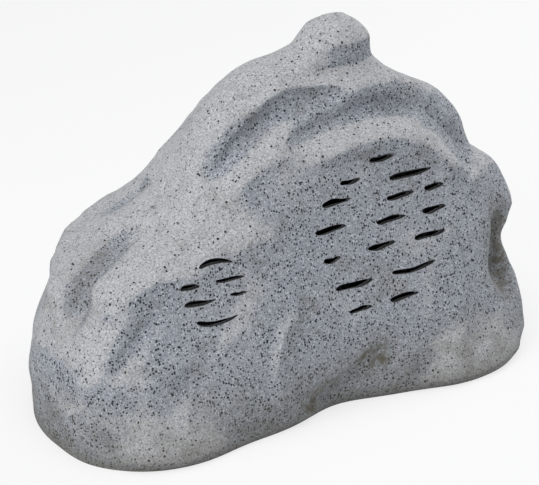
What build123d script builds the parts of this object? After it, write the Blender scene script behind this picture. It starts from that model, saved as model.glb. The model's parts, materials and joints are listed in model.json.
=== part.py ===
from build123d import *
import os
from math import cos, radians, sin

import numpy as np

# Rock shaped garden speaker: a moulded shell with a woofer and a tweeter behind groups of slots.
# Millimetres. +Z is up, the front faces -Y, and the origin is under the middle of the base.

# Rock: how far it reaches from the upright axis through the origin
rock_height = 318.0
left_reach = 233.0
right_reach = 242.0
front_reach = 144.0
back_reach = 140.0
wall = 7.0
cavity_shoulder = 250.0
cavity_crown = 24.0
crown_fade = 12.0
section_count = 38
section_points = 72
cavity_sections = 14
cavity_points = 36
cavity_softness = 1.6
front_crowding = 0.35
end_crowding = 0.5
steepest_inset = 3.0
crown_angles = (25, 45, 60, 72)

# Base: a plate in the mouth of the shell, on a gasket under an inner flange
base_thickness = 5.0
base_gap = 1.0
base_gasket_thickness = 2.0
flange_thickness = 8.0
flange_width = 14.0
base_screw_count = 8
base_screw_inset = 7.0
base_screw_radius = 2.0
base_screw_head = 4.0
base_screw_length = 20.0
base_screw_recess = 0.4
base_boss_radius = 6.0
base_boss_height = 13.0

# Fits
screw_clearance = 0.3
pilot_clearance = 0.1
screw_head_taper = 25.0
glue_gap = 0.1

# Slots
slot_reach = 60.0

# Woofer
woofer_x = 70.5
woofer_z = 146.0
woofer_lean = 20.0
woofer_chamber = 16.0
woofer_seat_radius = 90.0
woofer_seat_hole = 72.0
woofer_ledge = 7.0
woofer_front_radius = 82.0
woofer_flange_radius = 84.0
woofer_flange_thickness = 3.5
woofer_gasket_thickness = 2.0
woofer_gasket_hole = 74.0
woofer_screw_circle = 78.5
woofer_screw_radius = 2.0
woofer_screw_head = 3.8
woofer_screw_length = 12.0
woofer_screw_count = 4
woofer_opening = 66.0
basket_wall = 2.5
basket_depth = 46.0
spider_shelf_depth = 32.0
spider_shelf_radius = 52.0
basket_neck = 38.0
basket_floor_hole = 22.0
basket_window_count = 6
basket_window_width = 34.0
surround_thickness = 1.0
surround_land = 5.0
roll_width = 10.0
cone_thickness = 1.6
cone_depth = 23.0
cap_radius = 20.0
cap_rise = 7.0
cap_thickness = 1.0
former_radius = 12.7
former_thickness = 0.5
former_length = 36.0
coil_length = 12.0
coil_thickness = 0.7
pole_clearance = 0.6
gap_clearance = 0.5
spider_thickness = 0.8
spider_wave = 1.5
spider_folds = 4
spider_land = 4.0
top_plate_radius = 45.0
top_plate_thickness = 6.0
magnet_radius = 50.0
magnet_hole = 22.0
magnet_thickness = 16.0
magnet_chamfer = 1.0
yoke_radius = 45.0
yoke_thickness = 6.0
vent_radius = 4.0
terminal_width = 22.0
terminal_height = 10.0
terminal_thickness = 1.6
tab_width = 4.8
tab_thickness = 0.8
tab_length = 9.0
tab_pitch = 12.0

# Tweeter
tweeter_x = -107.5
tweeter_z = 134.0
tweeter_lean = 14.0
tweeter_yaw = 12.0
tweeter_chamber = 8.0
tweeter_seat_radius = 40.0
tweeter_seat_hole = 25.0
tweeter_ledge = 3.5
tweeter_front_radius = 34.0
tweeter_plate_radius = 36.0
tweeter_plate_thickness = 4.0
tweeter_gasket_thickness = 1.5
tweeter_gasket_radius = 29.5
tweeter_gasket_hole = 25.5
tweeter_screw_circle = 32.5
tweeter_screw_radius = 1.4
tweeter_screw_head = 2.7
tweeter_screw_length = 8.5
tweeter_screw_count = 4
horn_mouth = 24.0
horn_throat = 15.5
dome_radius = 12.7
dome_rise = 4.5
dome_thickness = 0.4
dome_ring = 20.0
dome_former_length = 5.0
dome_coil_length = 3.0
dome_coil_thickness = 0.4
dome_gap = 0.35
dome_plate_radius = 28.0
dome_plate_thickness = 3.0
dome_magnet_hole = 16.5
dome_magnet_thickness = 8.0
dome_yoke_radius = 27.0
dome_yoke_thickness = 3.0
dome_tab_strip_width = 14.0
dome_tab_strip_height = 6.0
dome_tab_width = 2.8
dome_tab_pitch = 8.0

# Crossover
board_x = -45.0
board_y = 30.0
board_length = 120.0
board_width = 80.0
board_thickness = 1.6
board_corner = 4.0
board_hole_inset = 6.0
board_post_radius = 5.0
board_post_height = 10.0
board_screw_radius = 1.5
board_screw_head = 2.8
board_screw_length = 9.0
bobbin_radius = 18.0
bobbin_height = 26.0
bobbin_core = 10.0
bobbin_bore = 7.0
bobbin_flange = 2.0
winding_depth = 6.5
inductor_spot = (-36.0, 12.0)
large_capacitor_radius = 11.0
large_capacitor_height = 31.0
large_capacitor_spot = (2.0, 20.0)
small_capacitor_radius = 8.0
small_capacitor_height = 21.0
small_capacitor_spot = (2.0, -6.0)
capacitor_groove = 0.8
capacitor_groove_height = 3.0
capacitor_edge = 1.5
resistor_length = 34.0
resistor_width = 9.0
resistor_spot = (34.0, 10.0)
resistor_chamfer = 1.0
block_pitch = 8.0
block_ways = 6
block_depth = 12.0
block_height = 14.0
block_spot = (0.0, -28.0)
block_entry_radius = 2.0
block_entry_height = 5.0
block_entry_depth = 8.0
block_chamfer = 2.0
lead_radius = 1.1
lead_bend = 8.0
lead_drop = 28.0
lead_sweep = 40.0
lead_approach = 34.0

# Cable gland, low on the back
gland_x = 5.0
gland_z = 46.0
gland_spot_radius = 15.0
gland_spot_depth = 3.0
gland_pad_radius = 18.0
gland_pad_depth = 14.0
gland_thread_radius = 6.0
gland_thread_length = 20.0
gland_flats = 17.0
gland_flange_thickness = 5.0
gland_washer_thickness = 1.5
gland_washer_radius = 9.0
gland_neck_radius = 7.2
gland_neck_length = 10.0
gland_bore = 4.2
gland_seal_radius = 5.2
gland_seal_bore = 3.5
gland_seal_length = 8.0
gland_cap_length = 12.5
gland_cap_roof = 3.0
gland_nut_thickness = 5.0

# The rock's four profiles: knots of (share of the height, share of the reach on that side)
left_profile = [
    (0.0, 0.995), (0.044, 1.0), (0.22, 0.985), (0.34, 0.915), (0.4, 0.889), (0.44, 0.86), (0.47, 0.797),
    (0.5, 0.7), (0.535, 0.58), (0.58, 0.48), (0.65, 0.382), (0.755, 0.278), (0.811, 0.223), (0.843, 0.195),
    (0.876, 0.14), (0.897, -0.03), (0.918, -0.14), (0.95, -0.18), (0.981, -0.21), (1.0, -0.255),
]
right_profile = [
    (0.0, 0.975), (0.044, 1.0), (0.142, 0.985), (0.283, 0.94), (0.409, 0.992), (0.503, 0.945),
    (0.572, 0.835), (0.645, 0.805), (0.73, 0.735), (0.792, 0.6), (0.836, 0.5), (0.881, 0.457),
    (0.937, 0.445), (0.975, 0.41), (1.0, 0.355),
]
front_profile = [
    (0.0, 0.965), (0.031, 1.0), (0.094, 1.0), (0.189, 0.951), (0.314, 0.861), (0.456, 0.743),
    (0.645, 0.583), (0.698, 0.528), (0.736, 0.468), (0.774, 0.44), (0.815, 0.43), (0.838, 0.39),
    (0.86, 0.325), (0.882, 0.292), (0.906, 0.296), (0.943, 0.312), (0.978, 0.262), (1.0, 0.181),
]
back_profile = [
    (0.0, 0.957), (0.044, 1.0), (0.189, 1.0), (0.377, 0.914), (0.566, 0.743), (0.723, 0.5),
    (0.824, 0.271), (0.887, 0.129), (0.943, 0.064), (0.978, 0.0), (1.0, -0.093),
]
# The spine that the bearings turn about: knots of (share of the height, share of the reach)
spine_right = [(0.0, 0.021), (0.472, 0.041), (0.723, 0.207), (0.881, 0.289), (1.0, 0.318)]
spine_front = [(0.0, 0.312), (0.472, 0.278), (0.723, 0.174), (0.881, 0.139), (1.0, 0.139)]
# How square each corner of a level section is: 2 is an ellipse, more is squarer
front_right_squareness = [(0.0, 4.0), (0.629, 3.4), (0.881, 2.2), (1.0, 2.0)]
front_left_squareness = [(0.0, 3.7), (0.189, 3.3), (0.377, 3.0), (0.629, 3.0), (0.881, 2.2), (1.0, 2.0)]
back_squareness = [(0.0, 2.0), (1.0, 2.0)]

# Ridges and hollows: a path of (bearing, share of the height), its spread and its height in millimetres.
# Bearings run from 0 at the right through 90 at the back and 180 at the left to 270 at the front.
ridges = {
    "upper_riser": ([(266, 0.82), (254, 0.825), (242, 0.821), (231, 0.806), (227, 0.756), (217, 0.703),
                     (205, 0.66)], 14, -14),
    "saddle_lip": ([(264, 0.84), (239, 0.861), (224, 0.836), (218, 0.771)], 13, 5),
    "crest": ([(271, 0.778), (254, 0.774), (240, 0.746), (233, 0.715), (225, 0.677), (217, 0.628),
               (212, 0.575), (210, 0.536), (216, 0.486), (217, 0.423)], 13, 6),
    "left_hollow": ([(174, 0.525), (177, 0.484), (181, 0.426), (182, 0.352)], 15, -17),
    "left_rim": ([(166, 0.46), (165, 0.38), (168, 0.3)], 20, 4),
    "left_back_hollow": ([(156, 0.57), (151, 0.53), (148, 0.5)], 20, -9),
    "left_valley": ([(187, 0.623), (198, 0.557)], 15, -5),
    "front_left_crease": ([(226, 0.379), (222, 0.328), (219, 0.28), (217, 0.255)], 13, -5),
    "low_left_hollow": ([(240, 0.288), (237, 0.229), (230, 0.189)], 22, -6),
    "left_lobe": ([(218, 0.226), (207, 0.274)], 28, 4),
    "left_toe_crease": ([(180, 0.201), (200, 0.164)], 13, -3),
    "toe_fold": ([(282, 0.147), (279, 0.137), (275, 0.125), (271, 0.098), (268, 0.055)], 15, -4),
    "right_groove": ([(317, 0.403), (319, 0.314), (318, 0.19)], 15, -17),
    "right_valley": ([(322, 0.327), (345, 0.308)], 20, -5),
    "woofer_brow": ([(258, 0.686), (269, 0.708), (278, 0.713), (293, 0.703), (306, 0.629), (311, 0.55)],
                     13, 8),
    "second_riser": ([(246, 0.737), (262, 0.75), (285, 0.771), (305, 0.749), (315, 0.687), (325, 0.577)],
                      13, -10),
    "right_flank": ([(315, 0.648), (323, 0.585)], 16, -4),
    "tweeter_brow": ([(228, 0.478), (238, 0.535), (250, 0.522)], 16, 4),
    "right_toe": ([(293, 0.013), (314, 0.02)], 30, 18),
    "left_toe": ([(222, 0.0), (242, 0.0)], 30, 13),
    "back_ridge": ([(68, 0.063), (72, 0.377), (84, 0.676), (95, 0.824)], 34, 9),
    "back_left_valley": ([(112, 0.094), (116, 0.346), (122, 0.597)], 30, -9),
    "back_right_valley": ([(34, 0.189), (38, 0.44), (52, 0.676)], 26, -8),
    "right_end_ridge": ([(8, 0.031), (6, 0.252), (14, 0.535)], 30, 6),
}
# Flat bottomed dishes: a centre of (bearing, share of the height), a radius, a depth and an edge power
dishes = {
    "woofer_dish": ((284, 0.459), 80, -3, 6),
    "tweeter_dish": ((240, 0.421), 38, -4, 6),
    "toe_hollow": ((271, 0.0), 46, -16, 2),
}
ridge_steps = 8

# Slots in front of each driver: (across, up, length, rise of the middle above the ends, height)
woofer_slots = [
    (11.5, 61, 24, 0, 4.2), (40, 41.5, 46, 0, 5), (-25, 48, 20, 0, 5), (62, 25, 20, 0, 5),
    (24, 25, 28, 0, 4.6), (-41.5, 34, 32, 0, 6), (57.5, 5.5, 25, 0, 5.6), (10, 7, 30.5, 0, 5.3),
    (-53, 12, 34, 0, 6.6), (47.5, -15.5, 33, 0, 5.5), (-5, -13.5, 29, 0, 5.4), (-57, -14, 20, 0, 6.4),
    (23.5, -39.5, 46, -2, 5.2), (-41, -40, 39, 0, 7.2), (9, -62, 32, 0, 5.2), (-39, -62, 24.5, 0, 5.2),
]
tweeter_slots = [
    (6, 20.5, 31, 3, 5), (18, 6, 28, 0, 4.4), (-20, 4.5, 16.5, 1.5, 4.2), (24.5, -7.5, 17, 0, 3.9),
    (-11.5, -9, 30, 0, 4.3), (1.5, -24.5, 39, -4, 5),
]

os.makedirs("parts", exist_ok=True)


def along(knots, share):
    """Smooth curve through (share, value) knots that never swings past a knot."""
    place, value = np.array(knots, float).T
    step = np.diff(place)
    rise = np.diff(value) / step
    slope = np.concatenate([rise[:1], np.zeros(len(step) - 1), rise[-1:]])
    same_way = rise[:-1] * rise[1:] > 0
    mean = 2 * rise[:-1] * rise[1:] / np.where(same_way, rise[:-1] + rise[1:], 1.0)
    slope[1:-1] = np.where(same_way, mean, 0.0)
    span = np.clip(np.searchsorted(place, share) - 1, 0, len(step) - 1)
    t = (share - place[span]) / step[span]
    start = (1 + 2 * t) * value[span] + t * step[span] * slope[span]
    end = (3 - 2 * t) * value[span + 1] - (1 - t) * step[span] * slope[span + 1]
    return (1 - t) ** 2 * start + t**2 * end


def smooth_rock(bearing, share):
    """Points of the rock without its ridges, and the level direction out of each point."""
    across, back = np.cos(np.radians(bearing)), np.sin(np.radians(bearing))
    spine_x = right_reach * along(spine_right, share)
    spine_y = -front_reach * along(spine_front, share)
    to_right = right_reach * along(right_profile, share) - spine_x
    to_left = left_reach * along(left_profile, share) + spine_x
    to_back = back_reach * along(back_profile, share) - spine_y
    to_front = front_reach * along(front_profile, share) + spine_y
    half_width = np.where(across >= 0, to_right, to_left)
    half_depth = np.where(back >= 0, to_back, to_front)
    right_square, left_square = along(front_right_squareness, share), along(front_left_squareness, share)
    front_square = np.where(across >= 0, right_square, left_square)
    power = np.where(back >= 0, along(back_squareness, share), front_square)
    size = (np.abs(across) ** power + np.abs(back) ** power) ** (-1 / power)
    x = spine_x + size * half_width * across
    y = spine_y + size * half_depth * back
    z = np.broadcast_to(share * rock_height, np.shape(x))
    out_x = np.sign(across) * np.abs(across) ** (power - 1) / half_width
    out_y = np.sign(back) * np.abs(back) ** (power - 1) / half_depth
    length = np.hypot(out_x, out_y)
    return np.stack([x, y, z], -1), np.stack([out_x / length, out_y / length], -1)


def ridge_share(points, path, spread):
    """How much of a ridge's height reaches each point: blobs added up along its path."""
    bearings, shares = np.array(path, float).T
    knot = np.arange(len(path))
    t = np.linspace(0, len(path) - 1, ridge_steps * (len(path) - 1) + 1)
    line = smooth_rock(np.interp(t, knot, bearings), np.interp(t, knot, shares))[0]
    middle = (line[1:] + line[:-1]) / 2
    length = np.linalg.norm(np.diff(line, axis=0), axis=1)
    distance = np.linalg.norm(points[:, None, :] - middle[None, :, :], axis=-1)
    return (np.exp(-((distance / spread) ** 2)) @ length) / (spread * np.sqrt(np.pi))


def rock(bearing, share, softness=1.0):
    """Points of the rock, ridges and dishes included, and the level direction out of each point.

    A softness over 1 spreads each ridge wider, lowers the ridges and deepens the hollows, so that a cavity
    made with it keeps clear of the outer face.
    """
    points, out = smooth_rock(bearing, share)
    lift = np.zeros(len(points))
    for path, spread, height in ridges.values():
        weight = softness ** (0.5 if height < 0 else -0.5)
        lift += height * weight * ridge_share(points, path, spread * softness)
    for (dish_bearing, dish_share), radius, depth, power in dishes.values():
        centre = smooth_rock(np.array([dish_bearing]), np.array([dish_share]))[0]
        lift += depth * np.exp(-((np.linalg.norm(points - centre, axis=-1) / radius) ** power))
    lift *= np.clip((1 - share) * rock_height / crown_fade, 0, 1)
    points[:, :2] += out * lift[:, None]
    return points, out


def section(z, inset, count, softness=1.0):
    """Points around the rock at a level, moved in so that a sloping wall keeps its thickness."""
    turn = 360.0 * np.arange(count) / count
    bearing = turn - front_crowding * np.degrees(np.sin(np.radians(turn - 270)))
    share = np.full(count, z / rock_height)
    points, out = rock(bearing, share, softness)
    if inset > 0:
        higher = rock(bearing, np.minimum(share + 1 / rock_height, 1.0), softness)[0]
        lower = rock(bearing, np.maximum(share - 1 / rock_height, 0.0), softness)[0]
        lean = ((higher - lower)[:, :2] * out).sum(-1) / (higher - lower)[:, 2]
        points[:, :2] -= out * (inset * np.minimum(np.hypot(1, lean), steepest_inset))[:, None]
    return [Vector(float(x), float(y), 0) for x, y in points[:, :2]]


def crown_section(angle):
    """Points around the cavity's domed top, where it has turned inwards by an angle."""
    shoulder = section(cavity_shoulder, wall, cavity_points, cavity_softness)
    centre = sum(shoulder, Vector()) / cavity_points
    return [centre + (point - centre) * cos(radians(angle)) for point in shoulder]


def ring(points):
    """Closed smooth curve whose parameter steps evenly from point to point, so that sections match."""
    count = len(points)
    return Edge.make_spline(points, periodic=True, parameters=[k / count for k in range(count + 1)])


def levels(bottom, top, count):
    """Heights of the sections, closer together at the two ends."""
    k = np.arange(count + 1) / count
    share = (1 - end_crowding) * k + end_crowding * (1 - np.cos(np.pi * k)) / 2
    return [float(z) for z in bottom + (top - bottom) * share]


def wall_y(x, z, first_bearing, last_bearing):
    """Where the outer face stands at (x, z), on the side between two bearings."""
    bearing = np.linspace(first_bearing, last_bearing, 361)
    points = rock(bearing, np.full(361, z / rock_height))[0]
    return float(np.interp(x, points[:, 0], points[:, 1]))


def driver_plane(x, z, lean, yaw, depth):
    """Plane of a driver's seat: its normal points out of the front, and it lies depth behind the face."""
    tilt, turn = radians(lean), radians(yaw)
    out = Vector(-sin(turn) * cos(tilt), -cos(turn) * cos(tilt), sin(tilt))
    face = Vector(x, wall_y(x, z, 180, 360), z)
    return Plane(origin=face - out * depth, x_dir=(cos(turn), -sin(turn), 0), z_dir=out)


def section_plane(plane):
    """Plane through a driver's axis: local x is the radius and local y is the distance forward."""
    return Plane(origin=plane.origin, x_dir=plane.x_dir, z_dir=-plane.y_dir)


def write(piece, name):
    """Label a finished piece and write it to its own file."""
    piece.part.label = name
    export_step(piece.part, f"parts/{name}.step")


woofer_plane = driver_plane(woofer_x, woofer_z, woofer_lean, 0, wall + woofer_chamber)
woofer_section = section_plane(woofer_plane)
woofer_axis = Axis(woofer_plane.origin, woofer_plane.z_dir)
tweeter_plane = driver_plane(tweeter_x, tweeter_z, tweeter_lean, tweeter_yaw, wall + tweeter_chamber)
tweeter_section = section_plane(tweeter_plane)
tweeter_axis = Axis(tweeter_plane.origin, tweeter_plane.z_dir)
woofer_pilot = woofer_screw_length - woofer_flange_thickness - woofer_gasket_thickness
tweeter_pilot = tweeter_screw_length - tweeter_plate_thickness - tweeter_gasket_thickness
gland_wall = wall_y(gland_x, gland_z, 180, 0)
gland_face = gland_wall - gland_spot_depth
gland_back = gland_wall - gland_pad_depth
gland_plane = Plane(origin=(gland_x, gland_face, gland_z), x_dir=(-1, 0, 0), z_dir=(0, 1, 0))
flange_bottom = base_thickness + base_gasket_thickness
flange_top = flange_bottom + flange_thickness
mouth_inset = wall + base_gap
base_screw_line = section(0, mouth_inset + base_screw_inset, section_points)
base_screw_spots = base_screw_line[:: section_points // base_screw_count]

# Cavity: the space inside the wall, less the driver seats, the screw bosses and the gland's pad
with BuildPart() as cavity:
    for z in levels(flange_top, cavity_shoulder, cavity_sections):
        with BuildSketch(Plane.XY.offset(z)):
            with BuildLine():
                add(ring(section(z, wall, cavity_points, cavity_softness)))
            make_face()
    for angle in crown_angles:
        with BuildSketch(Plane.XY.offset(cavity_shoulder + cavity_crown * sin(radians(angle)))):
            with BuildLine():
                add(ring(crown_section(angle)))
            make_face()
    loft()
    with BuildSketch(woofer_plane):
        Circle(woofer_seat_radius)
        Circle(woofer_seat_hole, mode=Mode.SUBTRACT)
    extrude(amount=woofer_ledge, mode=Mode.SUBTRACT)
    with BuildSketch(woofer_plane.offset(woofer_ledge)):
        Circle(woofer_seat_radius)
        Circle(woofer_front_radius, mode=Mode.SUBTRACT)
    extrude(amount=slot_reach, mode=Mode.SUBTRACT)
    with BuildSketch(tweeter_plane):
        Circle(tweeter_seat_radius)
        Circle(tweeter_seat_hole, mode=Mode.SUBTRACT)
    extrude(amount=tweeter_ledge, mode=Mode.SUBTRACT)
    with BuildSketch(tweeter_plane.offset(tweeter_ledge)):
        Circle(tweeter_seat_radius)
        Circle(tweeter_front_radius, mode=Mode.SUBTRACT)
    extrude(amount=slot_reach, mode=Mode.SUBTRACT)
    with BuildSketch(Plane.XY.offset(flange_top)):
        with Locations(*base_screw_spots):
            Circle(base_boss_radius)
    extrude(amount=base_boss_height, mode=Mode.SUBTRACT)
    with BuildSketch(gland_plane.offset(gland_back - gland_face)):
        Circle(gland_pad_radius)
    extrude(amount=slot_reach, mode=Mode.SUBTRACT)

with BuildPart() as rock_shell:
    for z in levels(0, rock_height, section_count):
        with BuildSketch(Plane.XY.offset(z)):
            with BuildLine():
                add(ring(section(z, 0, section_points)))
            make_face()
    loft()
    add(cavity.part, mode=Mode.SUBTRACT)
    # Mouth for the base plate, and the opening inside the flange
    with BuildSketch():
        with BuildLine():
            add(ring(section(0, wall, section_points)))
        make_face()
    extrude(amount=flange_bottom, mode=Mode.SUBTRACT)
    with BuildSketch():
        with BuildLine():
            add(ring(section(0, wall + flange_width, section_points)))
        make_face()
    extrude(amount=flange_top, mode=Mode.SUBTRACT)
    # Pilot holes for the base screws and the drivers' screws
    with BuildSketch():
        with Locations(*base_screw_spots):
            Circle(base_screw_radius + pilot_clearance)
    extrude(amount=base_screw_length + base_screw_recess + pilot_clearance, mode=Mode.SUBTRACT)
    with BuildSketch(woofer_plane):
        with PolarLocations(woofer_screw_circle, woofer_screw_count, start_angle=45):
            Circle(woofer_screw_radius + pilot_clearance)
    extrude(amount=woofer_pilot, mode=Mode.SUBTRACT)
    with BuildSketch(tweeter_plane):
        with PolarLocations(tweeter_screw_circle, tweeter_screw_count, start_angle=45):
            Circle(tweeter_screw_radius + pilot_clearance)
    extrude(amount=tweeter_pilot, mode=Mode.SUBTRACT)
    # Sound slots through the wall
    with BuildSketch(woofer_plane.offset(woofer_chamber / 2)):
        for across, up, length, bow, height in woofer_slots:
            if bow:
                ends = (across - length / 2, up), (across + length / 2, up)
                SlotArc(Edge.make_three_point_arc(ends[0], (across, up + bow), ends[1]), height)
            else:
                with Locations((across, up)):
                    SlotOverall(length, height)
    extrude(amount=slot_reach, mode=Mode.SUBTRACT)
    with BuildSketch(tweeter_plane.offset(tweeter_chamber / 2)):
        for across, up, length, bow, height in tweeter_slots:
            if bow:
                ends = (across - length / 2, up), (across + length / 2, up)
                SlotArc(Edge.make_three_point_arc(ends[0], (across, up + bow), ends[1]), height)
            else:
                with Locations((across, up)):
                    SlotOverall(length, height)
    extrude(amount=slot_reach, mode=Mode.SUBTRACT)
    # Spot face and hole for the cable gland
    with BuildSketch(gland_plane):
        Circle(gland_spot_radius)
    extrude(amount=slot_reach, mode=Mode.SUBTRACT)
    with BuildSketch(gland_plane):
        Circle(gland_thread_radius + screw_clearance)
    extrude(amount=gland_back - gland_face, mode=Mode.SUBTRACT)
write(rock_shell, "rock_shell")

# Base plate: it closes the mouth, and its posts carry the crossover board
board_bottom = base_thickness + board_post_height
board_top = board_bottom + board_thickness
board_plane = Plane((board_x, board_y, board_bottom))
board_hole_pitch = board_length - 2 * board_hole_inset, board_width - 2 * board_hole_inset

with BuildPart() as base_plate:
    with BuildSketch():
        with BuildLine():
            add(ring(section(0, mouth_inset, section_points)))
        make_face()
    extrude(amount=base_thickness)
    with BuildSketch(board_plane):
        with GridLocations(*board_hole_pitch, 2, 2):
            Circle(board_post_radius)
    extrude(amount=-board_post_height - base_thickness / 2)
    with BuildSketch(board_plane):
        with GridLocations(*board_hole_pitch, 2, 2):
            Circle(board_screw_radius + pilot_clearance)
    extrude(amount=board_thickness - board_screw_length - pilot_clearance, mode=Mode.SUBTRACT)
    with Locations(*(Location(spot, (180, 0, 0)) for spot in base_screw_spots)):
        CounterSinkHole(
            base_screw_radius + screw_clearance,
            base_screw_head + screw_clearance + base_screw_recess,
            depth=base_thickness,
            counter_sink_angle=90,
        )
write(base_plate, "base_plate")

with BuildPart() as base_gasket:
    with BuildSketch(Plane.XY.offset(base_thickness)):
        with BuildLine():
            add(ring(section(0, mouth_inset, section_points)))
        make_face()
        with BuildLine():
            add(ring(section(0, wall + flange_width, section_points)))
        make_face(mode=Mode.SUBTRACT)
        with Locations(*base_screw_spots):
            Circle(base_screw_radius + screw_clearance, mode=Mode.SUBTRACT)
    extrude(amount=base_gasket_thickness)
write(base_gasket, "base_gasket")

with BuildPart() as base_screws:
    with BuildSketch(Plane.XY.offset(base_screw_recess)):
        with Locations(*base_screw_spots):
            Circle(base_screw_radius)
    extrude(amount=base_screw_length)
    with Locations(*(Location(spot + Vector(0, 0, base_screw_recess)) for spot in base_screw_spots)):
        Cone(
            base_screw_head,
            base_screw_radius,
            base_screw_head - base_screw_radius,
            align=(Align.CENTER, Align.CENTER, Align.MIN),
        )
write(base_screws, "base_screws")

# Woofer: distances along its axis, forward of the seat
frame_front = -woofer_gasket_thickness
frame_back = frame_front - woofer_flange_thickness
shelf_front = frame_front - spider_shelf_depth
shelf_back = shelf_front - basket_wall
floor_back = frame_front - basket_depth
floor_front = floor_back + basket_wall
motor_back = floor_back - top_plate_thickness - magnet_thickness
cone_rim = woofer_opening - roll_width
cone_neck = former_radius + former_thickness + glue_gap
coil_outside = cone_neck + coil_thickness
gap_middle = floor_back - top_plate_thickness / 2

with BuildPart() as woofer_gasket:
    with BuildSketch(woofer_plane):
        Circle(woofer_flange_radius)
        Circle(woofer_gasket_hole, mode=Mode.SUBTRACT)
        with PolarLocations(woofer_screw_circle, woofer_screw_count, start_angle=45):
            Circle(woofer_screw_radius + screw_clearance, mode=Mode.SUBTRACT)
    extrude(amount=frame_front)
write(woofer_gasket, "woofer_gasket")

with BuildPart() as woofer_basket:
    with BuildSketch(woofer_section):
        with BuildLine():
            Polyline(
                (woofer_opening, frame_front),
                (woofer_opening, frame_back),
                (spider_shelf_radius, shelf_front),
                (basket_neck, shelf_front),
                (basket_neck, floor_front),
                (basket_floor_hole, floor_front),
                (basket_floor_hole, floor_back),
                (top_plate_radius, floor_back),
                (top_plate_radius, floor_front),
                (basket_neck + basket_wall, floor_front),
                (basket_neck + basket_wall, shelf_back),
                (spider_shelf_radius + basket_wall, shelf_back),
                (woofer_opening + basket_wall, frame_back),
                (woofer_flange_radius, frame_back),
                (woofer_flange_radius, frame_front),
                close=True,
            )
        make_face()
    revolve(axis=woofer_axis)
    with BuildSketch(woofer_plane.offset(frame_back - basket_wall)):
        with PolarLocations(woofer_opening, basket_window_count):
            RectangleRounded(2 * (woofer_opening - basket_neck), basket_window_width, basket_wall)
    extrude(amount=shelf_front - frame_back + 2 * basket_wall, mode=Mode.SUBTRACT)
    with BuildSketch(woofer_plane):
        with PolarLocations(woofer_screw_circle, woofer_screw_count, start_angle=45):
            Circle(woofer_screw_radius + screw_clearance)
    extrude(amount=frame_back, mode=Mode.SUBTRACT)
write(woofer_basket, "woofer_basket")

# Surround: a half roll between a land glued to the basket and a land glued to the cone
with BuildPart() as woofer_surround:
    with BuildSketch(woofer_section):
        with Locations((cone_rim + roll_width / 2, frame_front)):
            Circle((roll_width + surround_thickness) / 2)
            Circle((roll_width - surround_thickness) / 2, mode=Mode.SUBTRACT)
            Rectangle(
                2 * roll_width, 2 * roll_width, align=(Align.CENTER, Align.MAX), mode=Mode.SUBTRACT
            )
        with Locations((woofer_opening, frame_front)):
            Rectangle(surround_land, surround_thickness, align=Align.MIN)
        with Locations((cone_rim, frame_front)):
            Rectangle(surround_land, surround_thickness, align=(Align.MAX, Align.MIN))
    revolve(axis=woofer_axis)
write(woofer_surround, "woofer_surround")

with BuildPart() as woofer_cone:
    with BuildSketch(woofer_section):
        with BuildLine():
            Polyline(
                (cone_rim, frame_front),
                (cone_rim - surround_land, frame_front),
                (cone_neck, frame_front - cone_depth),
                (cone_neck, frame_front - cone_depth - cone_thickness),
                (cone_rim - surround_land, frame_front - cone_thickness),
                (cone_rim, frame_front - cone_thickness),
                close=True,
            )
        make_face()
    revolve(axis=woofer_axis)
write(woofer_cone, "woofer_cone")

# Dust cap: a slice of a hollow ball, standing on the cone where the cone has the cap's radius
cone_slope = cone_depth / (cone_rim - surround_land - cone_neck)
cap_rim = frame_front - cone_slope * (cone_rim - surround_land - cap_radius)
cap_ball = (cap_radius**2 + cap_rise**2) / (2 * cap_rise)

with BuildPart() as woofer_dust_cap:
    with BuildSketch(woofer_section):
        with Locations((0, cap_rim + cap_rise - cap_ball)):
            Circle(cap_ball)
            Circle(cap_ball - cap_thickness, mode=Mode.SUBTRACT)
        with Locations((0, cap_rim)):
            Rectangle(cap_radius, 2 * cap_rise, align=Align.MIN, mode=Mode.INTERSECT)
    revolve(axis=woofer_axis)
write(woofer_dust_cap, "woofer_dust_cap")

with BuildPart() as woofer_former:
    with BuildSketch(woofer_plane.offset(frame_front - cone_depth)):
        Circle(former_radius + former_thickness)
        Circle(former_radius, mode=Mode.SUBTRACT)
    extrude(amount=-former_length)
write(woofer_former, "woofer_former")

with BuildPart() as woofer_coil:
    with BuildSketch(woofer_plane.offset(gap_middle)):
        Circle(coil_outside)
        Circle(cone_neck, mode=Mode.SUBTRACT)
    extrude(amount=coil_length / 2, both=True)
write(woofer_coil, "woofer_coil")

# Spider: a pleated disc from the former to the basket's shelf
pleat_radii = np.linspace(cone_neck, basket_neck, 2 * spider_folds + 1)
pleat_heights = [0.0] + [spider_wave * (-1) ** k for k in range(2 * spider_folds - 1)] + [0.0]
spider_back = [(float(r), shelf_front + h) for r, h in zip(pleat_radii, pleat_heights)]
spider_back.append((basket_neck + spider_land, shelf_front))
spider_front = [(r, w + spider_thickness) for r, w in reversed(spider_back)]

with BuildPart() as woofer_spider:
    with BuildSketch(woofer_section):
        with BuildLine():
            Polyline(*spider_back, *spider_front, close=True)
        make_face()
    revolve(axis=woofer_axis)
write(woofer_spider, "woofer_spider")

with BuildPart() as woofer_top_plate:
    with BuildSketch(woofer_plane.offset(floor_back)):
        Circle(top_plate_radius)
        Circle(coil_outside + gap_clearance, mode=Mode.SUBTRACT)
    extrude(amount=-top_plate_thickness)
write(woofer_top_plate, "woofer_top_plate")

with BuildPart() as woofer_magnet:
    with BuildSketch(woofer_plane.offset(floor_back - top_plate_thickness)):
        Circle(magnet_radius)
        Circle(magnet_hole, mode=Mode.SUBTRACT)
    extrude(amount=-magnet_thickness)
    chamfer(woofer_magnet.edges().filter_by(GeomType.CIRCLE).sort_by(SortBy.RADIUS)[-2:], magnet_chamfer)
write(woofer_magnet, "woofer_magnet")

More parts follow.
